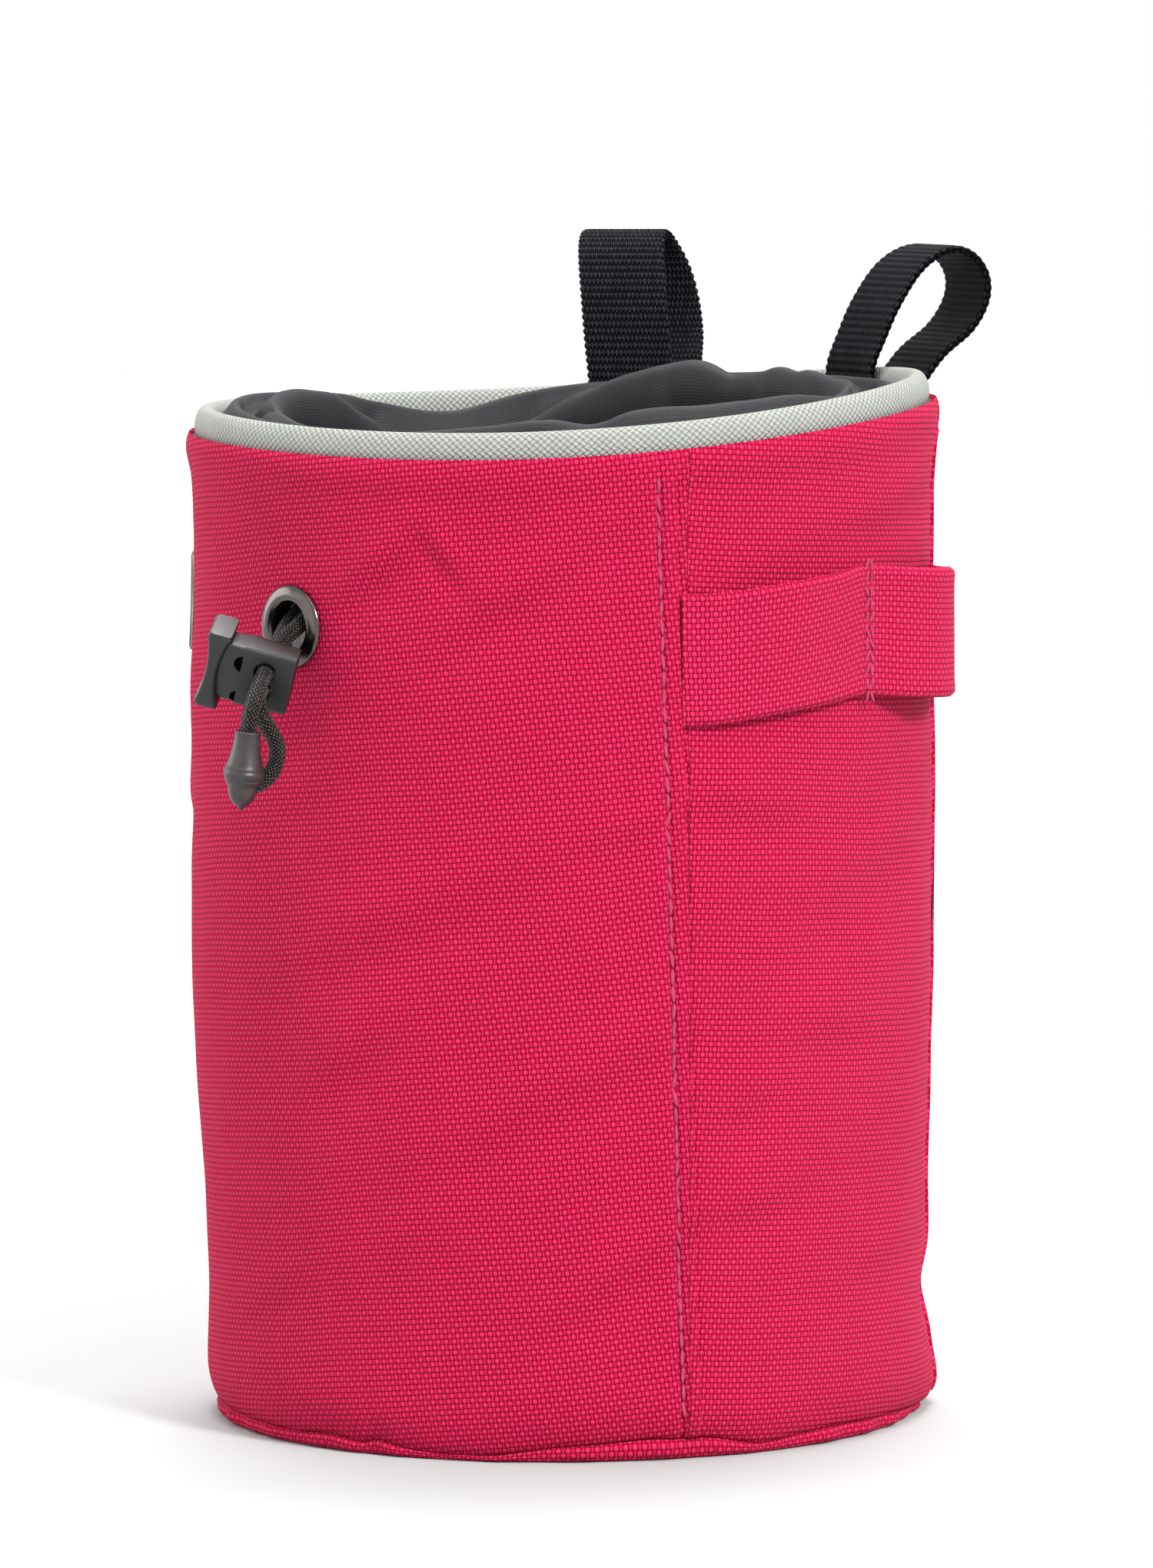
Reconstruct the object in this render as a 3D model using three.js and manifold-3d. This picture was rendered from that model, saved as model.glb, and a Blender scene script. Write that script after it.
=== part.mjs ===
// Climbing chalk bag: a woven cloth bucket with a stiff bound rim, a slumped drawcord collar inside it,
// two webbing belt loops, a brush loop, and a drawcord that leaves through an eyelet into a cord lock.
// Millimetres, +Z up. The origin is the centre of the underside. +Y is the belt side, -Y the drawcord
// side and +X the brush loop side. Angles are degrees round +Z from +X.

import * as THREE from 'three';
import { mergeVertices } from 'three/addons/utils/BufferGeometryUtils.js';
import Module from 'manifold-3d';

const wasm = await Module();
wasm.setup();

// Cloth wall
const bodyRadius = 61;
const wallHeight = 165;
const clothThickness = 1.6;
const lipThickness = 1.1;
const dentDepth = 1.5;
const clearance = 0.3;

// The mouth is not flat: it rises towards one side and waves twice round its rim
const rimRise = 2.65;
const rimRiseAngle = 56;
const rimWave = 1.6;
const rimWaveAngle = 36;

// Lapped side seams, one on each side of the brush loop
const seamAngle = 36;
const seamLap = 3.2;
const seamStep = 0.6;
const seamTwist = -2.4;
const seamFoldInset = 1;
const seamFoldSpan = 0.2;

// Bottom
const baseEdgeInset = 1.4;
const baseEdgeRadius = bodyRadius - baseEdgeInset;
const baseEdgeHeight = 4.6;
const baseThickness = 2;
const baseEdgeWall = 2.4;
const baseInnerCorner = 0.6;
const hemWave = 0.7;

// Bound rim
const bindingWidth = 4;
const bindingHeight = 6.6;
const bindingSeat = 2.4;

// Drawcord collar
const collarThickness = 1.1;
const collarFold = 4;
const collarInset = 9;
const collarDrop = 30;
const collarHemRadius = 1.9;
const collarTuck = 1.3;

// Webbing belt loops
const webbingWidth = 15;
const webbingThickness = 1.3;
const loopReach = 23.4;
const leftLoopRise = 25.2;
const rightLoopRise = 19.8;
const leftLoopAngle = 113.5;
const rightLoopAngle = 65;
const leftLoopLean = 4.5;
const rightLoopLean = 0;
const rightLoopTwist = 8;
const loopTail = 15;
const loopGapEasing = 7;

// Brush loop strip
const brushStripWidth = 21.3;
const brushStripHeight = 131;
const brushStripThickness = 1.4;
const brushStripBulge = 6.2;
const brushSeamInset = 2.2;

// Eyelet
const eyeletAngle = -99.75;
const eyeletHeight = 134.4;
const eyeletFlangeRadius = 6.75;
const eyeletFlangeHeight = 1.1;
const eyeletBoreRadius = 3.9;
const eyeletBarrelRadius = 5;
const eyeletWasherRadius = 6.5;
const eyeletWasherThickness = 0.8;
const eyeletHoleLength = 20;

// Cord lock, placed by its barrel's centre as seen from the eyelet: along the wall, outwards and up
const lockAcross = 5.3;
const lockOut = 9.3;
const lockUp = -7.3;
const lockTurn = 42;
const lockSlope = 15.5;
const lockRoll = 11;
const barrelLength = 10;
const barrelHeight = 12.5;
const barrelDepth = 7.5;
const barrelBevel = 1.3;
const barrelWall = 0.85;
const barrelFloor = 1.4;
const barrelMouthStep = 0.6;
const barrelMouthDepth = 0.5;
const barrelEndTaper = 2.1;
const plungerTravel = 2;
const plungerExposed = 3.5;
const plungerHeadLength = 3;
const plungerHeadHeight = 13.5;
const plungerHeadDepth = 7.5;
const plungerEndWall = 0.85;
const plungerHeadBevel = 0.8;
const plungerHeadTaper = 1.2;
const plungerHeadTaperLength = 0.7;
const plungerThumbRadius = 11;
const plungerThumbDepth = 1.1;
const cordHolePlace = 3.9;
const cordHoleSlack = 0.25;
const cordHoleEnds = 0.6;
const plungerSlotSlack = 0.2;
const plungerSlotEnds = 1.1;

// Drawcord and its end
const cordDiameter = 2.7;
const strandSpacing = 3.24;
const cordEndLength = 12.2;
const cordEndNeckRadius = 2.15;
const cordEndBulgeRadius = 3.6;
const cordEndTop = [-4.23, -79.9, 119.1];
const cordEndAxis = [-0.1315, -0.0041, -0.9913];
const cordEndGap = 0.6;

// Label on the side, left bare
const labelAngle = -157;
const labelWidth = 28;
const labelHeight = 16.4;
const labelMiddle = 135.8;
const labelThickness = 0.8;

// Fineness of the facets
const ringStations = 52;
const roundSides = 16;
const cordSides = 8;

// Routes of the two strands, from the collar's hem through the eyelet and the lock into the cord end
const strandA = [
  [-6.2, -54.0, 139.0], [-7.1, -55.9, 137.8], [-7.9, -57.7, 136.6], [-8.5, -59.7, 135.3],
  [-8.9, -61.6, 134.1], [-9.2, -63.6, 132.9], [-9.2, -65.7, 131.6], [-8.6, -67.7, 130.6],
  [-7.7, -69.6, 129.6], [-6.8, -71.6, 128.7], [-5.8, -73.6, 127.7], [-5.0, -75.5, 126.7],
  [-4.4, -77.3, 125.2], [-4.1, -78.7, 123.4], [-4.1, -79.6, 121.2], [-4.3, -79.9, 118.9],
  [-4.6, -79.9, 116.5], [-4.9, -79.9, 114.2],
];
const strandB = [
  [-12.2, -53.0, 138.6], [-12.1, -54.9, 137.4], [-12.2, -56.9, 136.1], [-12.1, -58.8, 134.9],
  [-11.9, -60.6, 133.5], [-11.6, -62.2, 131.9], [-11.2, -63.8, 130.3], [-10.7, -65.4, 128.8],
  [-9.9, -67.2, 127.6], [-9.0, -69.1, 126.7], [-8.1, -71.0, 125.8], [-7.2, -72.9, 124.9],
  [-6.3, -74.7, 123.8], [-5.1, -75.9, 122.3], [-3.9, -76.1, 120.4], [-2.8, -75.6, 118.4],
  [-2.1, -75.2, 116.3], [-2.0, -75.6, 114.1], [-2.4, -76.6, 112.1], [-3.4, -78.1, 110.7],
  [-4.7, -79.9, 110.1],
];

// Wall outline from the hem up: height as a share of the wall, radius as a share of bodyRadius,
// cloth as a share of clothThickness, lip as a share of lipThickness
const wallOutline = [
  { height: 0.0, radius: 0.958, cloth: 1, lip: 0 },
  { height: 0.012, radius: 0.974, cloth: 1, lip: 0 },
  { height: 0.035, radius: 0.986, cloth: 1, lip: 0 },
  { height: 0.08, radius: 0.984, cloth: 1, lip: 0 },
  { height: 0.14, radius: 0.98, cloth: 1, lip: 0 },
  { height: 0.22, radius: 0.984, cloth: 1, lip: 0 },
  { height: 0.32, radius: 0.992, cloth: 1, lip: 0 },
  { height: 0.42, radius: 0.997, cloth: 1, lip: 0 },
  { height: 0.52, radius: 1.002, cloth: 1, lip: 0 },
  { height: 0.61, radius: 1.005, cloth: 1, lip: 0 },
  { height: 0.7, radius: 1.004, cloth: 1, lip: 0 },
  { height: 0.78, radius: 1.003, cloth: 1, lip: 0 },
  { height: 0.85, radius: 1.002, cloth: 1, lip: 0 },
  { height: 0.91, radius: 1.003, cloth: 1, lip: 0 },
  { height: 0.955, radius: 1.01, cloth: 1, lip: 0 },
  { height: 0.98, radius: 1.023, cloth: 0, lip: 1 },
  { height: 0.993, radius: 1.022, cloth: 0, lip: 0.95 },
  { height: 1.0, radius: 1.015, cloth: 0, lip: 0.55 },
];

// Turned-up edge of the bottom from the underside up: inwards as a share of baseEdgeWall, height as a
// share of baseEdgeHeight
const baseOutline = [
  { inwards: 1.08, height: 0 },
  { inwards: 0.38, height: 0.16 },
  { inwards: 0, height: 0.48 },
  { inwards: 0.12, height: 0.8 },
  { inwards: 0.46, height: 1 },
  { inwards: 1, height: 1 },
];

// Dents and bulges of the wall: angle in degrees, height and tall as shares of the wall,
// wide in degrees, lean as share of height for each degree, depth as a share of dentDepth
const dents = [
  { angle: -85, height: 0.885, wide: 8, tall: 0.04, lean: 0.002, depth: -0.6 },
  { angle: -76, height: 0.9, wide: 5, tall: 0.035, lean: -0.004, depth: 0.5 },
  { angle: -64, height: 0.84, wide: 9, tall: 0.045, lean: -0.003, depth: -0.6 },
  { angle: -79, height: 0.53, wide: 18, tall: 0.035, lean: -0.001, depth: -0.5 },
  { angle: -91, height: 0.39, wide: 12, tall: 0.06, lean: 0.001, depth: -0.5 },
  { angle: -49, height: 0.37, wide: 10, tall: 0.045, lean: 0.004, depth: -0.6 },
  { angle: -43, height: 0.165, wide: 7, tall: 0.05, lean: 0.003, depth: -0.5 },
  { angle: -26, height: 0.245, wide: 7, tall: 0.05, lean: 0.003, depth: -0.5 },
  { angle: -22, height: 0.36, wide: 7, tall: 0.05, lean: 0.002, depth: -0.4 },
  { angle: -23, height: 0.66, wide: 9, tall: 0.04, lean: 0, depth: 0.4 },
  { angle: 35, height: 0.11, wide: 9, tall: 0.03, lean: 0, depth: -1 },
  { angle: 62, height: 0.48, wide: 17, tall: 0.12, lean: 0.001, depth: -0.8 },
  { angle: 98, height: 0.3, wide: 16, tall: 0.1, lean: -0.001, depth: 0.6 },
  { angle: 128, height: 0.6, wide: 15, tall: 0.11, lean: 0.001, depth: -0.7 },
  { angle: 165, height: 0.4, wide: 15, tall: 0.09, lean: -0.001, depth: -0.6 },
  { angle: -150, height: 0.25, wide: 13, tall: 0.08, lean: 0.001, depth: -0.6 },
];

// The collar's crest round the mouth: outer and inner folds as shares of collarFold above the rim,
// reach of the inner fold as a share of collarInset
const collarFolds = [
  { angle: -158, outer: 0.1, inner: 0.25, reach: 0.75 },
  { angle: -120, outer: -0.25, inner: -0.5, reach: 0.85 },
  { angle: -90, outer: -0.3, inner: -0.7, reach: 0.95 },
  { angle: -66, outer: 0.1, inner: -0.5, reach: 0.9 },
  { angle: -57, outer: 0.38, inner: -0.2, reach: 0.9 },
  { angle: -49, outer: 0.0, inner: -0.7, reach: 1.05 },
  { angle: -42, outer: 0.42, inner: -0.3, reach: 0.9 },
  { angle: -28, outer: 0.3, inner: -0.5, reach: 1.0 },
  { angle: -12, outer: 0.18, inner: -0.6, reach: 1.0 },
  { angle: 5, outer: -0.4, inner: -0.8, reach: 0.9 },
  { angle: 30, outer: -0.6, inner: -0.65, reach: 0.8 },
  { angle: 48, outer: -0.6, inner: -0.5, reach: 0.8 },
  { angle: 70, outer: -0.4, inner: 0.02, reach: 0.9 },
  { angle: 80, outer: -0.4, inner: -0.12, reach: 0.95 },
  { angle: 96, outer: -0.2, inner: 0.62, reach: 1.1 },
  { angle: 108, outer: -0.1, inner: 0.42, reach: 1.05 },
  { angle: 117, outer: 0.0, inner: 0.1, reach: 1.0 },
  { angle: 126, outer: -0.1, inner: -0.7, reach: 1.0 },
  { angle: 134, outer: -0.35, inner: -1.45, reach: 0.95 },
  { angle: 147, outer: -0.95, inner: -1.85, reach: 0.9 },
  { angle: 162, outer: -0.45, inner: -1.85, reach: 0.85 },
  { angle: 170, outer: -0.1, inner: -0.95, reach: 0.8 },
  { angle: 181, outer: 0.05, inner: 0.05, reach: 0.75 },
];

// Path of the collar's cloth from its sewn edge over both folds down to the drawcord hem. In from the
// binding: tuck as a share of collarTuck, in as a share of the inner fold's reach. Up from the rim:
// drop as a share of collarDrop, outer and inner as shares of the folds' heights, roll as a share of
// collarThickness. Cloth and hem are shares of collarThickness and of the hem's diameter.
const collarPath = [
  { tuck: 0.0, in: 0.0, drop: -0.22, outer: 0.0, inner: 0.0, roll: 0, cloth: 1, hem: 0 },
  { tuck: 0.0, in: 0.0, drop: -0.1, outer: 0.4, inner: 0.0, roll: 0, cloth: 1, hem: 0 },
  { tuck: 0.3, in: 0.04, drop: 0.0, outer: 1.0, inner: 0.0, roll: -1.2, cloth: 1, hem: 0 },
  { tuck: 0.8, in: 0.12, drop: 0.0, outer: 1.0, inner: 0.0, roll: 0, cloth: 1, hem: 0 },
  { tuck: 1.0, in: 0.26, drop: 0.0, outer: 0.9, inner: 0.1, roll: -1.2, cloth: 1, hem: 0 },
  { tuck: 1.0, in: 0.52, drop: -0.02, outer: 0.4, inner: 0.6, roll: -1.8, cloth: 1, hem: 0 },
  { tuck: 1.0, in: 0.82, drop: 0.0, outer: 0.0, inner: 1.0, roll: -0.5, cloth: 1, hem: 0 },
  { tuck: 1.0, in: 1.0, drop: 0.0, outer: 0.0, inner: 1.0, roll: 0, cloth: 1, hem: 0 },
  { tuck: 1.0, in: 1.16, drop: -0.02, outer: 0.0, inner: 1.0, roll: -1.0, cloth: 1, hem: 0 },
  { tuck: 1.0, in: 1.18, drop: -0.2, outer: 0.0, inner: 0.7, roll: 0, cloth: 1, hem: 0 },
  { tuck: 1.0, in: 0.85, drop: -0.5, outer: 0.0, inner: 0.2, roll: 0, cloth: 1, hem: 0 },
  { tuck: 1.0, in: 0.5, drop: -0.78, outer: 0.0, inner: 0.0, roll: 0, cloth: 1, hem: 0 },
  { tuck: 1.0, in: 0.42, drop: -0.88, outer: 0.0, inner: 0.0, roll: 0, cloth: 0.3, hem: 0.72 },
  { tuck: 1.0, in: 0.4, drop: -0.94, outer: 0.0, inner: 0.0, roll: 0, cloth: 0, hem: 1.0 },
  { tuck: 1.0, in: 0.4, drop: -1.0, outer: 0.0, inner: 0.0, roll: 0, cloth: 0.3, hem: 0.6 },
];

// Side view of a belt loop: reach from the leg inside the rim as a share of loopReach, tail as a share
// of the way to the leg on the outer wall, rise as a share of the loop's rise, drop as a share of
// loopTail, lean as a share of the loop's lean, hug as how far the webbing follows the round rim
const loopPath = [
  { reach: 0.0, tail: 0, rise: 0.0, drop: -0.66, lean: 0.0, hug: 1 },
  { reach: 0.0, tail: 0, rise: 0.0, drop: -0.2, lean: 0.0, hug: 1 },
  { reach: 0.02, tail: 0, rise: 0.05, drop: 0, lean: 0.05, hug: 0.9 },
  { reach: 0.09, tail: 0, rise: 0.25, drop: 0, lean: 0.25, hug: 0.6 },
  { reach: 0.2, tail: 0, rise: 0.52, drop: 0, lean: 0.5, hug: 0.3 },
  { reach: 0.37, tail: 0, rise: 0.8, drop: 0, lean: 0.8, hug: 0.1 },
  { reach: 0.54, tail: 0, rise: 0.95, drop: 0, lean: 0.97, hug: 0 },
  { reach: 0.72, tail: 0, rise: 1.0, drop: 0, lean: 1.0, hug: 0 },
  { reach: 0.88, tail: 0, rise: 0.93, drop: 0, lean: 0.85, hug: 0 },
  { reach: 0.98, tail: 0, rise: 0.76, drop: 0, lean: 0.45, hug: 0 },
  { reach: 0.97, tail: 0, rise: 0.55, drop: 0, lean: 0.1, hug: 0.1 },
  { reach: 0.84, tail: 0, rise: 0.32, drop: 0, lean: -0.2, hug: 0.3 },
  { reach: 0.5, tail: 0.3, rise: 0.1, drop: 0, lean: -0.4, hug: 0.6 },
  { reach: 0.17, tail: 0.75, rise: 0.0, drop: -0.25, lean: -0.5, hug: 0.9 },
  { reach: 0.04, tail: 0.95, rise: 0.0, drop: -0.6, lean: -0.55, hug: 1 },
  { reach: 0.0, tail: 1, rise: 0.0, drop: -1.0, lean: -0.6, hug: 1 },
];

// Brush loop from the front seam to the back one: place as a share of the way, bulge as a share of
// brushStripBulge, up as a share of brushStripWidth
const brushPath = [
  { place: 0.0, bulge: 0.0, up: -0.06 },
  { place: 0.06, bulge: 0.1, up: -0.05 },
  { place: 0.15, bulge: 0.34, up: -0.01 },
  { place: 0.25, bulge: 0.4, up: 0.03 },
  { place: 0.35, bulge: 0.24, up: 0.06 },
  { place: 0.43, bulge: 0.06, up: 0.09 },
  { place: 0.47, bulge: 0.0, up: 0.09 },
  { place: 0.51, bulge: 0.12, up: 0.08 },
  { place: 0.57, bulge: 0.52, up: 0.06 },
  { place: 0.65, bulge: 0.94, up: 0.04 },
  { place: 0.7, bulge: 1.0, up: 0.03 },
  { place: 0.75, bulge: 0.92, up: 0.02 },
  { place: 0.84, bulge: 0.6, up: 0.0 },
  { place: 0.93, bulge: 0.22, up: -0.02 },
  { place: 1.0, bulge: 0.0, up: -0.03 },
];

const radians = THREE.MathUtils.degToRad;

function turnBetween(from, to) {
  return THREE.MathUtils.euclideanModulo(to - from + 180, 360) - 180;
}

// Reads one column of a table at a place between its rows, on a smooth curve through the rows.
// A table with a period joins its last row to its first.
function readTable(rows, key, column, place, period = 0) {
  const count = rows.length;
  const row = (i) => {
    const turn = period ? Math.floor(i / count) : 0;
    const inside = period ? rows[i - turn * count] : rows[THREE.MathUtils.clamp(i, 0, count - 1)];
    return { at: inside[key] + turn * period, value: inside[column] };
  };
  let at = place;
  if (period) at = rows[0][key] + THREE.MathUtils.euclideanModulo(place - rows[0][key], period);
  let i = 0;
  while (i < count - (period ? 1 : 2) && row(i + 1).at <= at) i++;
  const [before, low, high, after] = [row(i - 1), row(i), row(i + 1), row(i + 2)];
  const span = high.at - low.at;
  const slope = (a, b) => (b.at > a.at ? ((b.value - a.value) / (b.at - a.at)) * span : 0);
  const s = THREE.MathUtils.clamp((at - low.at) / span, 0, 1);
  const rise = high.value - low.value;
  const start = slope(before, high);
  const end = slope(low, after);
  return low.value + s * start + s * s * (3 * rise - 2 * start - end) + s * s * s * (start + end - 2 * rise);
}

function rimLift(angle) {
  const tilt = rimRise * Math.cos(radians(angle - rimRiseAngle));
  return tilt + rimWave * Math.cos(2 * radians(angle - rimWaveAngle));
}

function wallTop(angle) {
  return wallHeight + rimLift(angle);
}

function rimTop(angle) {
  return wallTop(angle) + bindingHeight - bindingSeat;
}

function baseEdge(angle) {
  const a = radians(angle);
  return baseEdgeHeight + hemWave * (0.6 * Math.sin(3 * a + 1) + 0.4 * Math.sin(5 * a));
}

function wallBottom(angle) {
  return baseEdge(angle) + clearance;
}

// The front seam laps one way and the back seam the other, and both turn a little on their way up
function seamLift(angle, share) {
  const lapDegrees = THREE.MathUtils.radToDeg(seamLap / bodyRadius);
  let lift = 0;
  for (const side of [-1, 1]) {
    const fold = side * (seamAngle - seamFoldInset) + seamTwist * (share - 0.5);
    const past = side * turnBetween(fold, angle);
    if (past > 0 && past < 3 * lapDegrees) {
      lift += seamStep * (past < lapDegrees ? 1 : 1 - (past - lapDegrees) / (2 * lapDegrees));
    }
  }
  return lift;
}

function wallRadius(angle, share) {
  let radius = bodyRadius * readTable(wallOutline, 'height', 'radius', share);
  for (const dent of dents) {
    const across = turnBetween(dent.angle, angle);
    const up = (share - dent.height - dent.lean * across) / dent.tall;
    radius += dentDepth * dent.depth * Math.exp(-((across / dent.wide) ** 2) - up * up);
  }
  return radius + seamLift(angle, share) * (share < 0.97 ? 1 : 0.4);
}

function heightShare(angle, z) {
  const share = (z - wallBottom(angle)) / (wallTop(angle) - wallBottom(angle));
  return THREE.MathUtils.clamp(share, 0, 1);
}

function polar(radius, angle, z) {
  return [radius * Math.cos(radians(angle)), radius * Math.sin(radians(angle)), z];
}

const lipRadius = bodyRadius * Math.max(...wallOutline.map((row) => row.radius));
const mouthRadius = lipRadius - lipThickness - clearance;
const bindingInner = mouthRadius - bindingWidth;

// A closed solid through sections that all have the same even number of points, each a closed loop.
// A round one joins its last section to its first, and an open one gets flat ends.
function loft(sections, round) {
  const count = sections[0].length;
  const faces = [];
  const rows = round ? sections.length : sections.length - 1;
  for (let s = 0; s < rows; s++) {
    const low = s * count;
    const high = ((s + 1) % sections.length) * count;
    for (let k = 0; k < count; k++) {
      const next = (k + 1) % count;
      faces.push(low + k, low + next, high + next, low + k, high + next, high + k);
    }
  }
  if (!round) {
    const last = (sections.length - 1) * count;
    for (let k = 0; k < count / 2 - 1; k++) {
      const across = count - 1 - k;
      faces.push(k, across, across - 1, k, across - 1, k + 1);
      faces.push(last + k, last + across - 1, last + across, last + k, last + k + 1, last + across - 1);
    }
  }
  const geometry = new THREE.BufferGeometry();
  geometry.setAttribute('position', new THREE.Float32BufferAttribute(sections.flat(2), 3));
  geometry.setIndex(faces);
  return facingOut(geometry);
}

// Merges shared corners, drops empty triangles and turns the faces outwards
function facingOut(source) {
  const bare = source.clone();
  bare.deleteAttribute('normal');
  bare.deleteAttribute('uv');
  const merged = mergeVertices(bare, 1e-3);
  const at = merged.getAttribute('position');
  const index = merged.getIndex().array;
  const kept = [];
  let volume = 0;
  const [a, b, c] = [new THREE.Vector3(), new THREE.Vector3(), new THREE.Vector3()];
  for (let i = 0; i < index.length; i += 3) {
    const [i0, i1, i2] = [index[i], index[i + 1], index[i + 2]];
    if (i0 === i1 || i1 === i2 || i2 === i0) continue;
    kept.push(i0, i1, i2);
    a.fromBufferAttribute(at, i0);
    b.fromBufferAttribute(at, i1);
    c.fromBufferAttribute(at, i2);
    volume += a.dot(b.cross(c));
  }
  if (volume < 0) kept.reverse();
  merged.setIndex(kept);
  return merged;
}

function solid(geometry) {
  const clean = facingOut(geometry);
  return new wasm.Manifold(new wasm.Mesh({
    numProp: 3,
    vertProperties: new Float32Array(clean.getAttribute('position').array),
    triVerts: new Uint32Array(clean.getIndex().array),
  }));
}

function fromSolid(body) {
  const mesh = body.getMesh();
  const geometry = new THREE.BufferGeometry();
  geometry.setAttribute('position', new THREE.Float32BufferAttribute(mesh.vertProperties, 3));
  geometry.setIndex(Array.from(mesh.triVerts));
  return geometry;
}

function mesh(name, geometry, color, roughness, metalness = 0) {
  const finished = new THREE.Mesh(geometry, new THREE.MeshStandardMaterial({ color, roughness, metalness }));
  geometry.computeVertexNormals();
  finished.name = name;
  return finished;
}

const ringAngles = Array.from({ length: ringStations }, (_, i) => (i * 360) / ringStations - 180);

// Stations round the wall: even ones, and a pair at each edge of each seam's lap
function wallAngles() {
  const lapDegrees = THREE.MathUtils.radToDeg(seamLap / bodyRadius);
  const fold = seamAngle - seamFoldInset;
  const front = [fold - seamFoldSpan, fold + seamFoldSpan, fold + lapDegrees];
  const edges = front.flatMap((edge) => [-edge, edge]);
  const clear = (angle) => edges.every((edge) => Math.abs(turnBetween(edge, angle)) > lapDegrees / 2);
  const even = ringAngles.filter(clear);
  return [...even, ...edges].sort((a, b) => a - b);
}

function sideWall() {
  const sections = wallAngles().map((station) => {
    const outer = wallOutline.map((row) => {
      const angle = station + seamTwist * (row.height - 0.5);
      const z = wallBottom(angle) + row.height * (wallTop(angle) - wallBottom(angle));
      return { angle, z, radius: wallRadius(angle, row.height), row };
    });
    const inner = outer.map(({ angle, z, radius, row }) => {
      const thickness = clothThickness * row.cloth + lipThickness * row.lip;
      return polar(radius - thickness, angle, z);
    });
    return [...outer.map(({ angle, z, radius }) => polar(radius, angle, z)), ...inner.reverse()];
  });
  const hole = new THREE.CylinderGeometry(
    eyeletBarrelRadius + clearance, eyeletBarrelRadius + clearance, eyeletHoleLength, roundSides,
  );
  hole.applyMatrix4(eyeletPlace);
  return fromSolid(solid(loft(sections, true)).subtract(solid(hole)));
}

// The eyelet's own place: its axis is the local Y, at the wall's outer face
const eyeletSeat = wallRadius(eyeletAngle, heightShare(eyeletAngle, eyeletHeight));
const outwards = new THREE.Vector3(...polar(1, eyeletAngle, 0));
const across = new THREE.Vector3(...polar(1, eyeletAngle + 90, 0));
const upwards = new THREE.Vector3(0, 0, 1);
const eyeletPlace = new THREE.Matrix4()
  .makeBasis(upwards, outwards, across)
  .setPosition(...polar(eyeletSeat, eyeletAngle, eyeletHeight));

function sagAt(halfWidth, radius) {
  return (halfWidth * halfWidth) / (2 * radius);
}

// The flange lies on the cloth, the barrel passes through it and the washer grips it from inside
function eyelet() {
  const grip = -clothThickness - sagAt(eyeletWasherRadius, bodyRadius - clothThickness) - clearance;
  const back = grip - eyeletWasherThickness;
  const crown = clearance + eyeletFlangeHeight;
  const flange = eyeletFlangeRadius - eyeletBoreRadius;
  const profile = [
    [eyeletBarrelRadius, clearance],
    [eyeletFlangeRadius, clearance],
    [eyeletFlangeRadius, clearance + eyeletFlangeHeight * 0.3],
    [eyeletBoreRadius + flange * 0.78, crown - eyeletFlangeHeight * 0.25],
    [eyeletBoreRadius + flange * 0.45, crown],
    [eyeletBoreRadius + flange * 0.18, crown - eyeletFlangeHeight * 0.35],
    [eyeletBoreRadius, 0],
    [eyeletBoreRadius, grip / 2],
    [eyeletBoreRadius + flange * 0.12, grip],
    [eyeletBoreRadius + flange * 0.4, back],
    [eyeletWasherRadius, back],
    [eyeletWasherRadius, grip],
    [eyeletBarrelRadius, grip],
    [eyeletBarrelRadius, clearance],
  ];
  const points = profile.map(([radius, up]) => new THREE.Vector2(radius, up));
  const geometry = new THREE.LatheGeometry(points, roundSides);
  geometry.applyMatrix4(eyeletPlace);
  return facingOut(geometry);
}

// The bottom is a shallow dish whose edge carries the wall's hem
function basePanel() {
  const ring = (inwards, height) => ringAngles.map((angle) => (
    polar(baseEdgeRadius - inwards, angle, height(angle))
  ));
  const edge = baseOutline.map((row) => (
    ring(baseEdgeWall * row.inwards, (angle) => baseEdge(angle) * row.height)
  ));
  return loft([...edge, ring(baseEdgeWall + baseInnerCorner, () => baseThickness)], false);
}

// A closed ring of rounded section, nested in the wall's lip and standing above it
function rimBinding() {
  const corner = bindingWidth / 2;
  const straight = bindingHeight / 2 - corner;
  const sections = ringAngles.map((angle) => {
    const middle = rimTop(angle) - bindingHeight / 2;
    const points = [];
    for (let i = 0; i < 10; i++) {
      const turn = ((i + 0.5) * Math.PI) / 5;
      const z = middle + corner * Math.sin(turn) + straight * Math.sign(Math.sin(turn));
      points.push(polar(bindingInner + corner + corner * Math.cos(turn), angle, z));
    }
    return points;
  });
  return loft(sections, true);
}

// The collar keeps clear of the webbing that goes down inside the rim
function loopGap(angle) {
  const halfTurn = THREE.MathUtils.radToDeg(webbingWidth / 2 / bindingInner);
  const near = (place) => {
    const past = (Math.abs(turnBetween(place, angle)) - halfTurn) / loopGapEasing;
    return 1 - THREE.MathUtils.smoothstep(past, 0, 1);
  };
  return (webbingThickness + clearance) * Math.max(near(leftLoopAngle), near(rightLoopAngle));
}

function collarPoint(row, angle) {
  const fold = (column) => readTable(collarFolds, 'angle', column, angle, 360);
  const reach = collarInset * fold('reach');
  const inset = clearance + collarThickness / 2 + loopGap(angle) + collarTuck * row.tuck + reach * row.in;
  const lift = collarFold * (fold('outer') * row.outer + fold('inner') * row.inner);
  const rise = collarDrop * row.drop + lift + collarThickness * row.roll;
  const half = (collarThickness * row.cloth) / 2 + collarHemRadius * row.hem;
  return { radius: bindingInner - inset, z: rimTop(angle) + rise, half };
}

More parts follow.
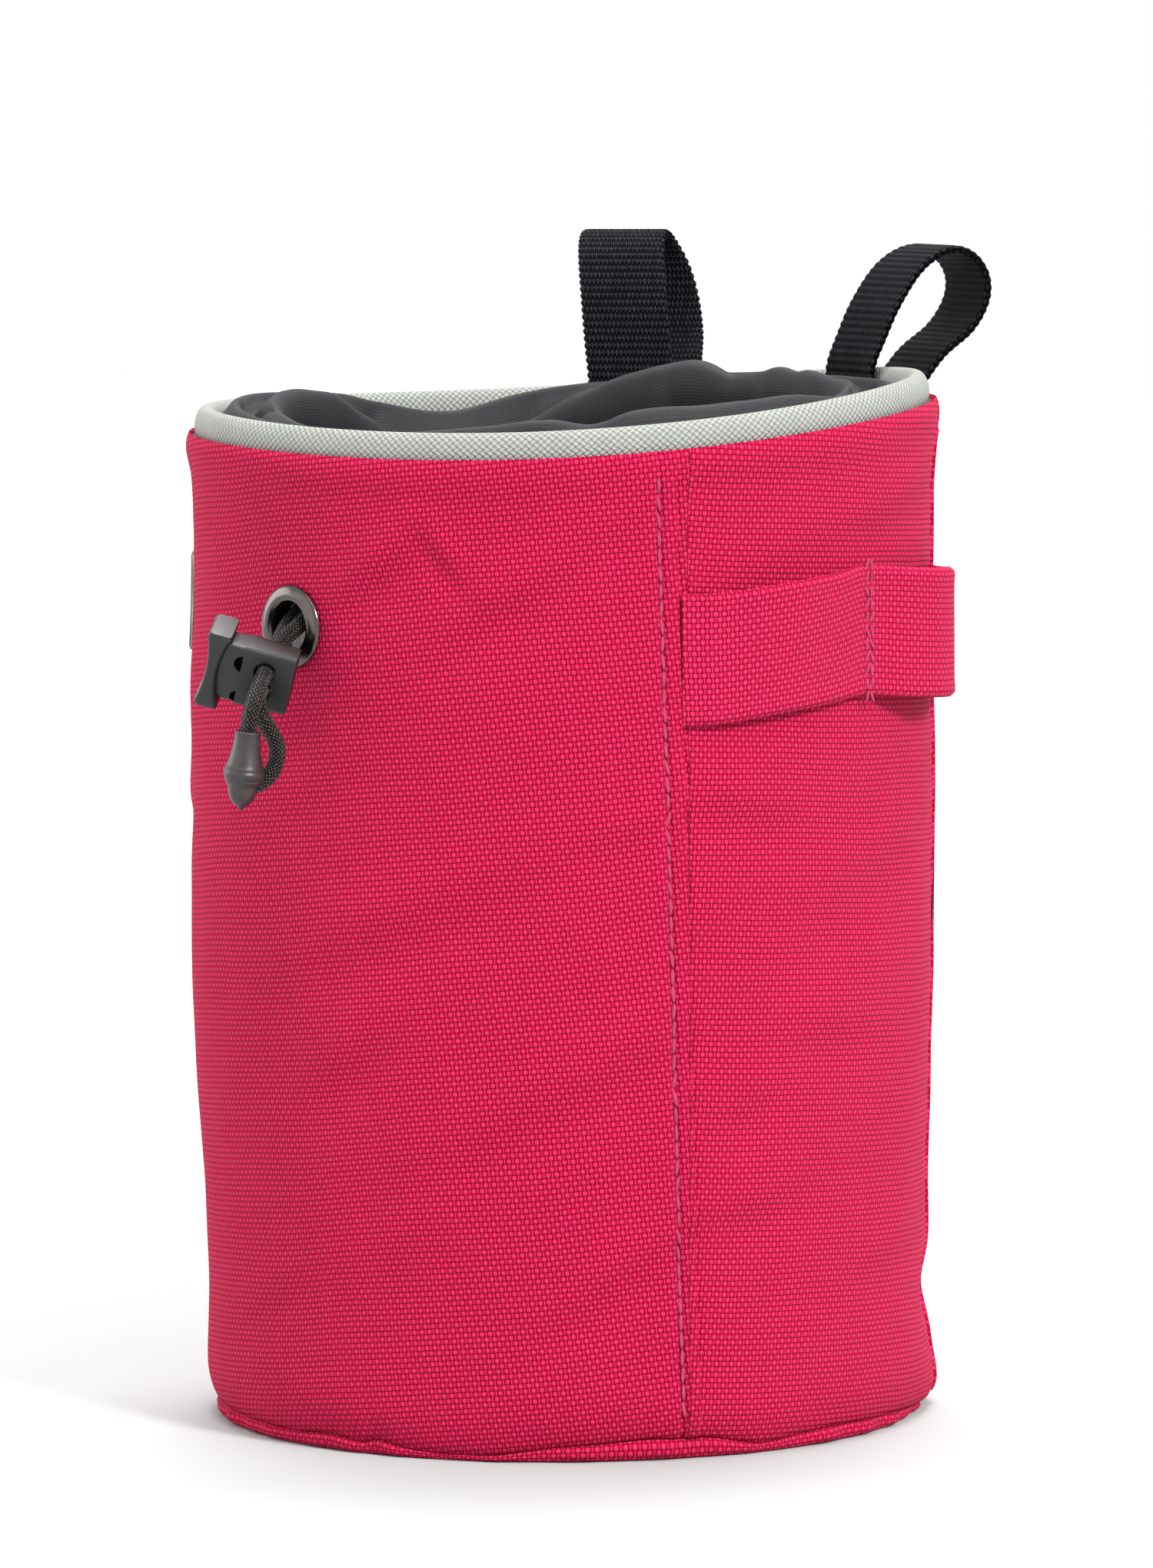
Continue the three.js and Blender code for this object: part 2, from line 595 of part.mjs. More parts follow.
function collar() {
  const sections = ringAngles.map((angle) => {
    const line = collarPath.map((row) => collarPoint(row, angle));
    const side = (sign) => line.map((point, i) => {
      const before = line[Math.max(i - 1, 0)];
      const after = line[Math.min(i + 1, line.length - 1)];
      const along = new THREE.Vector2(after.radius - before.radius, after.z - before.z).normalize();
      const radius = point.radius - sign * along.y * point.half;
      return polar(radius, angle, point.z + sign * along.x * point.half);
    });
    return [...side(1), ...side(-1).reverse()];
  });
  return loft(sections, true);
}

// Webbing that stands up inside the rim, loops over it and runs down the outer wall
function beltLoop(place, rise, lean, twist) {
  const innerLeg = bindingInner - clearance - webbingThickness / 2;
  const outerLeg = lipRadius + clearance + webbingThickness / 2;
  const centre = loopPath.map((row) => ({
    out: innerLeg + loopReach * row.reach + (outerLeg - innerLeg) * row.tail,
    z: rimTop(place) + rise * row.rise + loopTail * row.drop,
    side: lean * row.lean,
    turn: radians(twist) * (0.5 - row.reach) * row.rise,
    hug: row.hug,
  }));
  const sections = centre.map((point, i) => {
    const before = centre[Math.max(i - 1, 0)];
    const after = centre[Math.min(i + 1, centre.length - 1)];
    const along = new THREE.Vector2(after.out - before.out, after.z - before.z).normalize();
    const face = (sign, width) => {
      const offset = (sign * webbingThickness) / 2;
      const wide = width * Math.cos(point.turn);
      const sag = point.hug * sagAt(width, point.out) + width * Math.sin(point.turn);
      const local = new THREE.Vector3(
        point.out - along.y * offset - sag, point.side + wide, point.z + along.x * offset,
      );
      local.applyAxisAngle(upwards, radians(place));
      return local.toArray();
    };
    const columns = [-1, -0.33, 0.33, 1].map((share) => (share * webbingWidth) / 2);
    return [...columns.map((width) => face(1, width)), ...columns.reverse().map((width) => face(-1, width))];
  });
  return loft(sections, false);
}

// A strip that lies against the wall, or off it by its own bulge
function wallStrip(rows, thickness, width) {
  const sections = rows.map(({ angle, bulge, middle }) => {
    const heights = [-0.5, 0, 0.5].map((share) => middle + share * width);
    const wall = Math.max(...heights.map((z) => wallRadius(angle, heightShare(angle, z))));
    const inner = wall + clearance + bulge;
    const face = (radius) => heights.map((z) => polar(radius, angle, z));
    return [...face(inner), ...face(inner + thickness).reverse()];
  });
  return loft(sections, false);
}

function brushLoop() {
  const start = brushSeamInset - seamAngle;
  const end = seamAngle - brushSeamInset;
  const rows = brushPath.map((row) => ({
    angle: start + (end - start) * row.place,
    bulge: brushStripBulge * row.bulge,
    middle: brushStripHeight + brushStripWidth * row.up,
  }));
  return wallStrip(rows, brushStripThickness, brushStripWidth);
}

function sideLabel() {
  const halfTurn = THREE.MathUtils.radToDeg(labelWidth / 2 / bodyRadius);
  const steps = 5;
  const rows = Array.from({ length: steps + 1 }, (_, i) => ({
    angle: labelAngle + halfTurn * ((2 * i) / steps - 1),
    bulge: 0,
    middle: labelMiddle,
  }));
  return wallStrip(rows, labelThickness, labelHeight);
}

// The lock's axes: press runs from the plunger's head into the barrel, and through is the cord hole
const press = new THREE.Vector3()
  .addScaledVector(across, Math.cos(radians(lockTurn)))
  .addScaledVector(outwards, -Math.sin(radians(lockTurn)))
  .multiplyScalar(Math.cos(radians(lockSlope)))
  .addScaledVector(upwards, -Math.sin(radians(lockSlope)));
const through = outwards.clone().addScaledVector(press, -outwards.dot(press)).normalize()
  .applyAxisAngle(press, radians(lockRoll));
const tall = new THREE.Vector3().crossVectors(through, press);
const lockCentre = new THREE.Vector3(...polar(eyeletSeat, eyeletAngle, eyeletHeight))
  .addScaledVector(across, lockAcross)
  .addScaledVector(outwards, lockOut)
  .addScaledVector(upwards, lockUp);
const lockPlace = new THREE.Matrix4()
  .makeBasis(press, tall, through)
  .setPosition(lockCentre.clone().addScaledVector(press, -barrelLength / 2));

const cordRadius = cordDiameter / 2;
const neckHeight = barrelHeight - 2 * (barrelWall + clearance);
const neckDepth = barrelDepth - 2 * (barrelWall + clearance);
const slotEnd = cordHolePlace + cordRadius + clearance;
const slotStart = cordHolePlace - cordRadius - clearance - plungerTravel;
const plungerEnd = slotEnd + plungerEndWall;

// A block of eight-cornered sections along the lock's press direction: at, tall and deep are lengths
function lockBlock(rows, bevel) {
  return loft(rows.map(({ at, tall: height, deep }) => {
    const [h, d, b] = [height / 2, deep / 2, bevel];
    const upper = [[h - b, -d], [h, b - d], [h, d - b], [h - b, d]];
    const lower = [[b - h, d], [-h, d - b], [-h, b - d], [b - h, -d]];
    return [...upper, ...lower].map(([y, z]) => [at, y, z]);
  }), false);
}

// A long hole with round ends through the lock: half lengths along the press direction and upwards
function lockHole(place, halfAlong, halfTall) {
  const shape = new THREE.Shape();
  shape.absellipse(place, 0, halfAlong, halfTall, 0, 2 * Math.PI);
  const depth = 2 * barrelDepth;
  const hole = new THREE.ExtrudeGeometry(shape, { depth, bevelEnabled: false, curveSegments: 14 });
  return hole.translate(0, 0, -depth / 2);
}

function lockBarrel() {
  const shell = lockBlock([
    { at: 0, tall: barrelHeight - barrelMouthStep, deep: barrelDepth - barrelMouthStep },
    { at: barrelMouthDepth, tall: barrelHeight, deep: barrelDepth },
    { at: barrelLength - barrelBevel, tall: barrelHeight, deep: barrelDepth },
    { at: barrelLength, tall: barrelHeight - barrelEndTaper, deep: barrelDepth - barrelEndTaper },
  ], barrelBevel);
  const cavity = lockBlock([
    { at: -1, tall: neckHeight + 2 * clearance, deep: neckDepth + 2 * clearance },
    { at: barrelLength - barrelFloor, tall: neckHeight + 2 * clearance, deep: neckDepth + 2 * clearance },
  ], barrelBevel / 2);
  const halfAlong = cordRadius + clearance + cordHoleSlack;
  const hole = lockHole(cordHolePlace, halfAlong, strandSpacing / 2 + cordRadius + cordHoleEnds);
  return fromSolid(solid(shell).subtract(solid(cavity)).subtract(solid(hole)));
}

function lockPlunger() {
  const neck = lockBlock([
    { at: -plungerExposed - plungerHeadLength / 5, tall: neckHeight, deep: neckDepth },
    { at: plungerEnd, tall: neckHeight, deep: neckDepth },
  ], barrelBevel / 2);
  const back = -plungerExposed - plungerHeadLength;
  const head = lockBlock([
    { at: back, tall: plungerHeadHeight - plungerHeadTaper, deep: plungerHeadDepth - plungerHeadTaper },
    { at: back + plungerHeadTaperLength, tall: plungerHeadHeight, deep: plungerHeadDepth },
    { at: -plungerExposed, tall: plungerHeadHeight, deep: plungerHeadDepth },
  ], plungerHeadBevel);
  const halfAlong = (slotEnd - slotStart) / 2 + plungerSlotSlack;
  const halfTall = strandSpacing / 2 + cordRadius + plungerSlotEnds;
  const slot = lockHole((slotStart + slotEnd) / 2, halfAlong, halfTall);
  const thumb = new THREE.CylinderGeometry(
    plungerThumbRadius, plungerThumbRadius, 3 * barrelDepth, 2 * roundSides,
  );
  thumb.rotateX(Math.PI / 2);
  thumb.translate(back - plungerThumbRadius + plungerThumbDepth, 0, 0);
  return fromSolid(solid(neck).add(solid(head)).subtract(solid(slot)).subtract(solid(thumb)));
}

// A tube of cord along its points, a little fatter and longer where it stands for the bore round it
function cordTube(points, radius, longer = 0) {
  const route = points.map((point) => new THREE.Vector3(...point));
  if (longer > 0) {
    const end = route.at(-1);
    route.push(end.clone().add(end.clone().sub(route.at(-2)).setLength(longer)));
  }
  const shape = new THREE.Shape();
  for (let i = 0; i < cordSides; i++) {
    const turn = (2 * Math.PI * i) / cordSides;
    const [x, y] = [radius * Math.cos(turn), radius * Math.sin(turn)];
    if (i === 0) shape.moveTo(x, y);
    else shape.lineTo(x, y);
  }
  return new THREE.ExtrudeGeometry(shape, {
    steps: points.length,
    bevelEnabled: false,
    extrudePath: new THREE.CatmullRomCurve3(route, false, 'centripetal'),
  });
}

// The rubber bell that closes both strands, with a bore for each
function cordEnd() {
  const step = cordEndBulgeRadius - cordEndNeckRadius;
  const profile = [
    [0, 0],
    [cordEndNeckRadius, 0],
    [cordEndNeckRadius, 0.08],
    [cordEndNeckRadius + step * 0.3, 0.3],
    [cordEndNeckRadius + step * 0.6, 0.46],
    [cordEndBulgeRadius * 0.93, 0.52],
    [cordEndBulgeRadius, 0.6],
    [cordEndBulgeRadius * 0.93, 0.68],
    [cordEndBulgeRadius * 0.78, 0.76],
    [cordEndBulgeRadius * 0.68, 0.9],
    [cordEndBulgeRadius * 0.45, 0.98],
    [0, 1],
  ].map(([radius, share]) => new THREE.Vector2(radius, share * cordEndLength));
  const bell = new THREE.LatheGeometry(profile, roundSides);
  const axis = new THREE.Vector3(...cordEndAxis).normalize();
  bell.applyQuaternion(new THREE.Quaternion().setFromUnitVectors(new THREE.Vector3(0, 1, 0), axis));
  bell.translate(...cordEndTop);
  const boreRadius = cordRadius + clearance;
  return fromSolid(solid(bell)
    .subtract(solid(cordTube(strandA, boreRadius, cordEndGap)))
    .subtract(solid(cordTube(strandB, boreRadius, cordEndGap))));
}

const cloth = 0xc8164c;
const black = 0x1c1c1f;

const leftLoop = beltLoop(leftLoopAngle, leftLoopRise, leftLoopLean, 0);
const rightLoop = beltLoop(rightLoopAngle, rightLoopRise, rightLoopLean, rightLoopTwist);

const bag = new THREE.Group();
bag.add(
  mesh('side_wall', sideWall(), cloth, 0.8),
  mesh('base_panel', basePanel(), cloth, 0.8),
  mesh('rim_binding', rimBinding(), 0xb4b9b4, 0.7),
  mesh('collar', collar(), 0x4a4a4e, 0.6),
  mesh('belt_loop_left', leftLoop, black, 0.75),
  mesh('belt_loop_right', rightLoop, black, 0.75),
  mesh('brush_loop', brushLoop(), cloth, 0.8),
  mesh('eyelet', eyelet(), 0x5a5856, 0.3, 0.9),
  mesh('drawcord_a', facingOut(cordTube(strandA, cordRadius)), black, 0.8),
  mesh('drawcord_b', facingOut(cordTube(strandB, cordRadius)), black, 0.8),
  mesh('cord_end', cordEnd(), 0x5b5654, 0.55),
  mesh('side_label', sideLabel(), 0xb9c0c4, 0.7),
);

const lock = new THREE.Group();
lock.applyMatrix4(lockPlace);
lock.add(mesh('lock_barrel', lockBarrel(), black, 0.45), mesh('lock_plunger', lockPlunger(), black, 0.45));
bag.add(lock);

export default bag;
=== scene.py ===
import math

import bpy
import numpy as np
from mathutils import Matrix, Vector, noise


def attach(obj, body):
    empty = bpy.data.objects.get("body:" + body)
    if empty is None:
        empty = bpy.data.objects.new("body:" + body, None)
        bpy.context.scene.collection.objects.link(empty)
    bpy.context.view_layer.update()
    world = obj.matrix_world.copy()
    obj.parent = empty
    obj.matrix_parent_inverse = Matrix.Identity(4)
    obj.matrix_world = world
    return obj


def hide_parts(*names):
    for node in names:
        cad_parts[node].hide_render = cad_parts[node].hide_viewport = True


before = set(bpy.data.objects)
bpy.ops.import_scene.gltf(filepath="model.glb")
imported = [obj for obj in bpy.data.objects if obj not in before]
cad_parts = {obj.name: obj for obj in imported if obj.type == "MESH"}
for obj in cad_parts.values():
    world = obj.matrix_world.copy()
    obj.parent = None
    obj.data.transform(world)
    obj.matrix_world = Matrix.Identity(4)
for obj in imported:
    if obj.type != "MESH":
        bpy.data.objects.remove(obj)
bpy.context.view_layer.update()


# Camera. It stands where the photograph was taken from: 1.5 m from the bag's axis, 36 degrees round
# from the cord side towards the brush loop side, a little above the mouth and looking slightly down.
# 11754 px of focal length on a 2040 px high frame is 207 mm on a 36 mm sensor.
def place_object(name, data):
    """Makes an object of the data and puts it in the scene."""
    made = bpy.data.objects.new(name, data)
    bpy.context.scene.collection.objects.link(made)
    return made


camera_data = bpy.data.cameras.new("camera")
camera_data.sensor_width = 36
camera_data.lens = 11754.5 * 36 / 2040
camera_data.clip_start = 0.05
camera = place_object("camera", camera_data)
bpy.context.scene.camera = camera

camera_pitch = 0.0897
camera_yaw = 0.00137
camera_roll = -0.00601
forward = Vector((
    math.sin(camera_yaw) * math.cos(camera_pitch),
    math.cos(camera_yaw) * math.cos(camera_pitch),
    -math.sin(camera_pitch),
))
right = forward.cross(Vector((0, 0, 1))).normalized()
up = right.cross(forward)
level_right = right
right = level_right * math.cos(camera_roll) + up * math.sin(camera_roll)
up = up * math.cos(camera_roll) - level_right * math.sin(camera_roll)
facing = Matrix((right, up, -forward)).transposed().to_4x4()
facing.translation = Vector((0, -1.5, 0.23966))
camera.matrix_world = Matrix.Rotation(math.radians(36), 4, "Z") @ facing


# Drawcord. Two strands of 2.7 mm braided black nylon cord leave the collar's hem through the eyelet, pass
# the lock side by side and end in the rubber bell; one of them bulges out in a short loop on its way.
# Each is a tube along its route, with the braid's yarns as a relief.
cord_diameter = 0.0027
strand_a = np.array([
    [-6.2, -54.0, 139.0], [-7.1, -55.9, 137.8], [-7.9, -57.7, 136.6], [-8.5, -59.7, 135.3],
    [-8.9, -61.6, 134.1], [-9.2, -63.6, 132.9], [-9.2, -65.7, 131.6], [-8.6, -67.7, 130.6],
    [-7.7, -69.6, 129.6], [-6.8, -71.6, 128.7], [-5.8, -73.6, 127.7], [-5.0, -75.5, 126.7],
    [-4.4, -77.3, 125.2], [-4.1, -78.7, 123.4], [-4.1, -79.6, 121.2], [-4.3, -79.9, 118.9],
    [-4.6, -79.9, 116.5], [-4.9, -79.9, 114.2],
]) / 1000
strand_b = np.array([
    [-12.2, -53.0, 138.6], [-12.1, -54.9, 137.4], [-12.2, -56.9, 136.1], [-12.1, -58.8, 134.9],
    [-11.9, -60.6, 133.5], [-11.6, -62.2, 131.9], [-11.2, -63.8, 130.3], [-10.7, -65.4, 128.8],
    [-9.9, -67.2, 127.6], [-9.0, -69.1, 126.7], [-8.1, -71.0, 125.8], [-7.2, -72.9, 124.9],
    [-6.3, -74.7, 123.8], [-5.1, -75.9, 122.3], [-3.9, -76.1, 120.4], [-2.8, -75.6, 118.4],
    [-2.1, -75.2, 116.3], [-2.0, -75.6, 114.1], [-2.4, -76.6, 112.1], [-3.4, -78.1, 110.7],
    [-4.7, -79.9, 110.1],
]) / 1000


def linear(colour):
    """An sRGB hex colour as the linear red, green, blue and alpha that the sockets take."""
    parts = [int(colour[i:i + 2], 16) / 255 for i in (1, 3, 5)]
    return [*(c / 12.92 if c <= 0.04045 else ((c + 0.055) / 1.055) ** 2.4 for c in parts), 1]


def add(tree, kind, *values, inputs=None, **settings):
    """Adds a node with its settings. A value for an input is a number, a colour, a socket or a node."""
    made = tree.nodes.new(kind)
    for key, setting in settings.items():
        setattr(made, key, setting)
    for place, value in [*enumerate(values), *(inputs or {}).items()]:
        if isinstance(value, bpy.types.Node):
            value = value.outputs[0]
        if isinstance(value, bpy.types.NodeSocket):
            tree.links.new(value, made.inputs[place])
        else:
            made.inputs[place].default_value = value
    return made


def new_material(name):
    """A material with an empty node tree, and the tree."""
    material = bpy.data.materials.new(name)
    material.use_nodes = True
    material.node_tree.nodes.clear()
    return material, material.node_tree


def smooth_table(rows, place, period=0):
    """Reads the columns of a table at places between its rows, on smooth curves through the rows."""
    rows = np.array(rows, float)
    place = np.asarray(place, float)
    if period:
        first = rows[0, 0]
        turn = np.array([period] + [0] * (rows.shape[1] - 1))
        place = (place - first) % period + first
        rows = np.vstack([rows[-1:] - turn, rows, rows[:2] + turn])
    x, y = rows[:, 0], rows[:, 1:]
    slope = np.empty_like(y)
    slope[1:-1] = (y[2:] - y[:-2]) / (x[2:] - x[:-2])[:, None]
    slope[0] = (y[1] - y[0]) / (x[1] - x[0])
    slope[-1] = (y[-1] - y[-2]) / (x[-1] - x[-2])
    place = np.clip(place, x[0], x[-1])
    i = np.clip(np.searchsorted(x, place, side="right") - 1, 0, len(x) - 2)
    span = (x[i + 1] - x[i])[..., None]
    s = (place - x[i])[..., None] / span
    start = y[i] * (1 + 2 * s) * (1 - s) ** 2 + slope[i] * span * s * (1 - s) ** 2
    return start + y[i + 1] * (3 - 2 * s) * s ** 2 - slope[i + 1] * span * s ** 2 * (1 - s)


def evenly(points, step):
    """Points a fixed step apart on a smooth line through the given ones, and their lengths from its start."""
    points = np.asarray(points, float)
    chord = np.r_[0, np.cumsum(np.linalg.norm(np.diff(points, axis=0), axis=1))]
    fine = smooth_table(np.c_[chord, points], np.linspace(0, chord[-1], 40 * len(points)))
    run = np.r_[0, np.cumsum(np.linalg.norm(np.diff(fine, axis=0), axis=1))]
    at = np.linspace(0, run[-1], max(2, round(run[-1] / step) + 1))
    return np.stack([np.interp(at, run, fine[:, k]) for k in range(3)], 1), at


def grid_lengths(points, round_u=False, round_v=False):
    """Lengths along both directions of a grid of points, with one more row or column where it is round."""
    if round_u:
        points = np.concatenate([points, points[:1]])
    if round_v:
        points = np.concatenate([points, points[:, :1]], 1)
    u = np.linalg.norm(np.diff(points, axis=0), axis=2).mean(1)
    v = np.linalg.norm(np.diff(points, axis=1), axis=2).mean(0)
    u, v = np.r_[0, np.cumsum(u)], np.r_[0, np.cumsum(v)]
    return np.stack(np.meshgrid(u, v, indexing="ij"), 2)


def skin(name, points, lengths=None, round_u=False, round_v=False, caps=False, parts=None, materials=()):
    """A mesh through a grid of points. The cloth's own lengths there, given in metres or else measured on
    the grid, are kept as its UV map."""
    if lengths is None:
        lengths = grid_lengths(points, round_u, round_v)
    n, k = points.shape[:2]
    i, j = np.meshgrid(np.arange(n if round_u else n - 1), np.arange(k if round_v else k - 1), indexing="ij")
    i, j = i.ravel(), j.ravel()
    i2, j2 = (i + 1) % n, (j + 1) % k
    faces = np.stack([i * k + j, i2 * k + j, i2 * k + j2, i * k + j2], 1)
    uv = np.stack([lengths[i, j], lengths[i + 1, j], lengths[i + 1, j + 1], lengths[i, j + 1]], 1)
    slots = np.zeros(len(faces), int) if parts is None else np.asarray(parts)[j]
    if caps:
        low = np.arange(k // 2 - 1)
        far = k - 1 - low
        for row, order in ((0, 1), (n - 1, -1)):
            cap = row * k + np.stack([low, far, far - 1, low + 1], 1)[:, ::order]
            faces = np.vstack([faces, cap])
            uv = np.vstack([uv, lengths[row, cap - row * k]])
            slots = np.r_[slots, slots[:1].repeat(len(cap))]
    flat = points.reshape(-1, 3)
    corner = flat[faces]
    volume = np.einsum("ij,ij->i", corner[:, 0], np.cross(corner[:, 1], corner[:, 2]))
    volume += np.einsum("ij,ij->i", corner[:, 0], np.cross(corner[:, 2], corner[:, 3]))
    if volume.sum() < 0:
        faces, uv = faces[:, ::-1], uv[:, ::-1]
    mesh = bpy.data.meshes.new(name)
    mesh.from_pydata(flat.tolist(), [], faces.tolist())
    mesh.uv_layers.new(name="cloth").data.foreach_set("uv", uv.reshape(-1).astype(np.float32))
    mesh.polygons.foreach_set("use_smooth", np.ones(len(faces), bool))
    for material in materials:
        mesh.materials.append(material)
    mesh.polygons.foreach_set("material_index", slots.astype(np.int32))
    mesh.update()
    return place_object(name, mesh)


# One woven or braided pattern serves every textile on the bag: two sets of yarns that pass over and under
# each other. Across and Along count yarns; where both counts share their parity the first set is on top.
weave = bpy.data.node_groups.new("plain_weave", "ShaderNodeTree")
for socket in ("Across", "Along", "First slimness", "Second slimness", "Crimp"):
    weave.interface.new_socket(socket, in_out="INPUT", socket_type="NodeSocketFloat")
for socket in ("Height", "Yarn shade"):
    weave.interface.new_socket(socket, in_out="OUTPUT", socket_type="NodeSocketFloat")
given = add(weave, "NodeGroupInput").outputs
rounds, sides, lifts = [], [], []
for count in given[:2]:
    turn = add(weave, "ShaderNodeMath", count, math.pi, operation="MULTIPLY")
    wave = add(weave, "ShaderNodeMath", turn, operation="SINE")
    rounds.append(add(weave, "ShaderNodeMath", wave, operation="ABSOLUTE"))
    sides.append(add(weave, "ShaderNodeMath", wave, operation="SIGN"))
    lifts.append(add(weave, "ShaderNodeMapRange", wave, -0.6, 0.6, -1.0, 1.0))
yarns = []
for own, other, way in ((0, 1, 1.0), (1, 0, -1.0)):
    over = add(weave, "ShaderNodeMath", sides[own], lifts[other], operation="MULTIPLY")
    crimped = add(weave, "ShaderNodeMath", over, given[4], operation="MULTIPLY")
    rounded = add(weave, "ShaderNodeMath", rounds[own], given[2 + own], operation="POWER")
    yarns.append(add(weave, "ShaderNodeMath", crimped, way, rounded, operation="MULTIPLY_ADD"))
top_yarn = add(weave, "ShaderNodeMath", *yarns, 0.08, operation="SMOOTH_MAX")
floors = [add(weave, "ShaderNodeMath", count, operation="FLOOR") for count in given[:2]]
cell = add(weave, "ShaderNodeCombineXYZ", *floors)
shade = add(weave, "ShaderNodeTexWhiteNoise", cell, noise_dimensions="3D")
add(weave, "NodeGroupOutput", top_yarn, shade.outputs["Value"])


def woven(name, pitches, valley_shade, middle, crown, depth, slimness=(1, 1), crimp=0.6, diagonal=False, wander=0.0,
          roughness=0.5, sheen=0.0, specular=0.3, mottle=0.05):
    """A textile material. Pitches are the two yarn spacings and depth the relief's height, in metres."""
    material, tree = new_material(name)
    place = add(tree, "ShaderNodeUVMap", uv_map="cloth").outputs[0]
    here = add(tree, "ShaderNodeTexCoord").outputs["Object"]
    if wander:
        drift = add(tree, "ShaderNodeTexNoise", inputs={"Vector": here, "Scale": 24.0, "Detail": 1.5})
        grey = (0.5, 0.5, 0.5)
        centred = add(tree, "ShaderNodeVectorMath", drift.outputs["Color"], grey, operation="SUBTRACT")
        shift = add(tree, "ShaderNodeVectorMath", centred, operation="SCALE", inputs={"Scale": wander})
        place = add(tree, "ShaderNodeVectorMath", place, shift, operation="ADD")
    parts = add(tree, "ShaderNodeSeparateXYZ", place).outputs
    first, second = parts[0], parts[1]
    if diagonal:
        first, second = (
            add(tree, "ShaderNodeMath", parts[0], parts[1], operation=way) for way in ("ADD", "SUBTRACT")
        )
    first = add(tree, "ShaderNodeMath", first, pitches[0], operation="DIVIDE")
    second = add(tree, "ShaderNodeMath", second, pitches[1], operation="DIVIDE")
    pattern = add(tree, "ShaderNodeGroup", first, second, *slimness, crimp, node_tree=weave)
    height = pattern.outputs["Height"]
    # The colour follows the relief: the valley colour is painted shade in the gaps between the yarns, the
    # middle colour their sides, and the crown colour a painted highlight on their tops. Every textile below
    # is coloured this way.
    lower = add(tree, "ShaderNodeMapRange", height, 0.1, 0.75, 0.0, 1.0)
    upper = add(tree, "ShaderNodeMapRange", height, 0.75, 1.0 + crimp, 0.0, 1.0)
    dark = add(tree, "ShaderNodeMix", lower, data_type="RGBA", inputs={6: linear(valley_shade), 7: linear(middle)})
    light = add(tree, "ShaderNodeMix", upper, data_type="RGBA", inputs={6: dark.outputs[2], 7: linear(crown)})
    blotch = add(tree, "ShaderNodeTexNoise", inputs={"Vector": here, "Scale": 90.0, "Detail": 3.0})
    vary = add(tree, "ShaderNodeMath", pattern.outputs["Yarn shade"], blotch.outputs[0], operation="ADD")
    value = add(tree, "ShaderNodeMapRange", vary, 0.3, 1.7, 1 - mottle, 1 + mottle)
    colour = add(tree, "ShaderNodeHueSaturation", inputs={"Value": value, "Color": light.outputs[2]})
    fibre = add(tree, "ShaderNodeTexNoise", inputs={"Vector": here, "Scale": 5000.0, "Detail": 1.0})
    relief = add(tree, "ShaderNodeMath", fibre.outputs[0], 0.18, height, operation="MULTIPLY_ADD")
    bump = add(tree, "ShaderNodeBump", inputs={"Strength": 1.0, "Distance": depth, "Height": relief})
    shader = add(tree, "ShaderNodeBsdfPrincipled", inputs={
        "Base Color": colour, "Roughness": roughness, "Normal": bump, "Specular IOR Level": specular,
        "Sheen Weight": sheen, "Sheen Roughness": 0.5,
    })
    add(tree, "ShaderNodeOutputMaterial", shader)
    return material


def crossing(across, along, crimp=0.6):
    """The same crossing yarns as a relief for a mesh, from about 0 in a gap to 1 + crimp on a crown."""
    a, b = np.sin(np.pi * across), np.sin(np.pi * along)
    return np.maximum(np.abs(a) + crimp * np.sign(a) * b, np.abs(b) - crimp * np.sign(b) * a)


def directions_across(points):
    """Two directions across a line at each of its points, carried along it without a twist."""
    along = np.gradient(points, axis=0)
    along /= np.linalg.norm(along, axis=1)[:, None]
    side = np.cross(along, [0, 0, 1.0])
    side[0] /= np.linalg.norm(side[0])
    for i in range(1, len(points)):
        flat = side[i - 1] - along[i] * (side[i - 1] @ along[i])
        side[i] = flat / np.linalg.norm(flat)
    return side, np.cross(along, side)


cord_radius = cord_diameter / 2
cord_yarns = 12
braid_pitch = 2 * math.pi * cord_radius / cord_yarns
# The cord's brown-grey crown colour is a painted highlight on the braid's yarns, and its near-black valley
# colour painted shade between them.
cord_nylon = woven(
    "braided_nylon_cord", (braid_pitch, braid_pitch), "#010101", "#070606", "#2E2823", 0.0002,
    crimp=0.7, diagonal=True, roughness=0.35, specular=0.4, mottle=0.8,
)
strands = []
for name, route in (("drawcord_strand_a", strand_a), ("drawcord_strand_b", strand_b)):
    line, run = evenly(route, 0.00012)
    side, out = directions_across(line)
    turn = np.linspace(0, 2 * math.pi, 49)
    around = turn * cord_radius
    relief = crossing((run[:, None] + around) / braid_pitch, (run[:, None] - around) / braid_pitch, 0.7)
    radius = cord_radius * (0.9 + 0.07 * relief)[:, :-1, None]
    grid = line[:, None] + radius * (
        np.cos(turn[:-1])[None, :, None] * side[:, None] + np.sin(turn[:-1])[None, :, None] * out[:, None]
    )
    lengths = np.stack(np.meshgrid(run, around, indexing="ij"), 2)
    strands.append(skin(name, grid, lengths, round_v=True, caps=True, materials=[cord_nylon]))


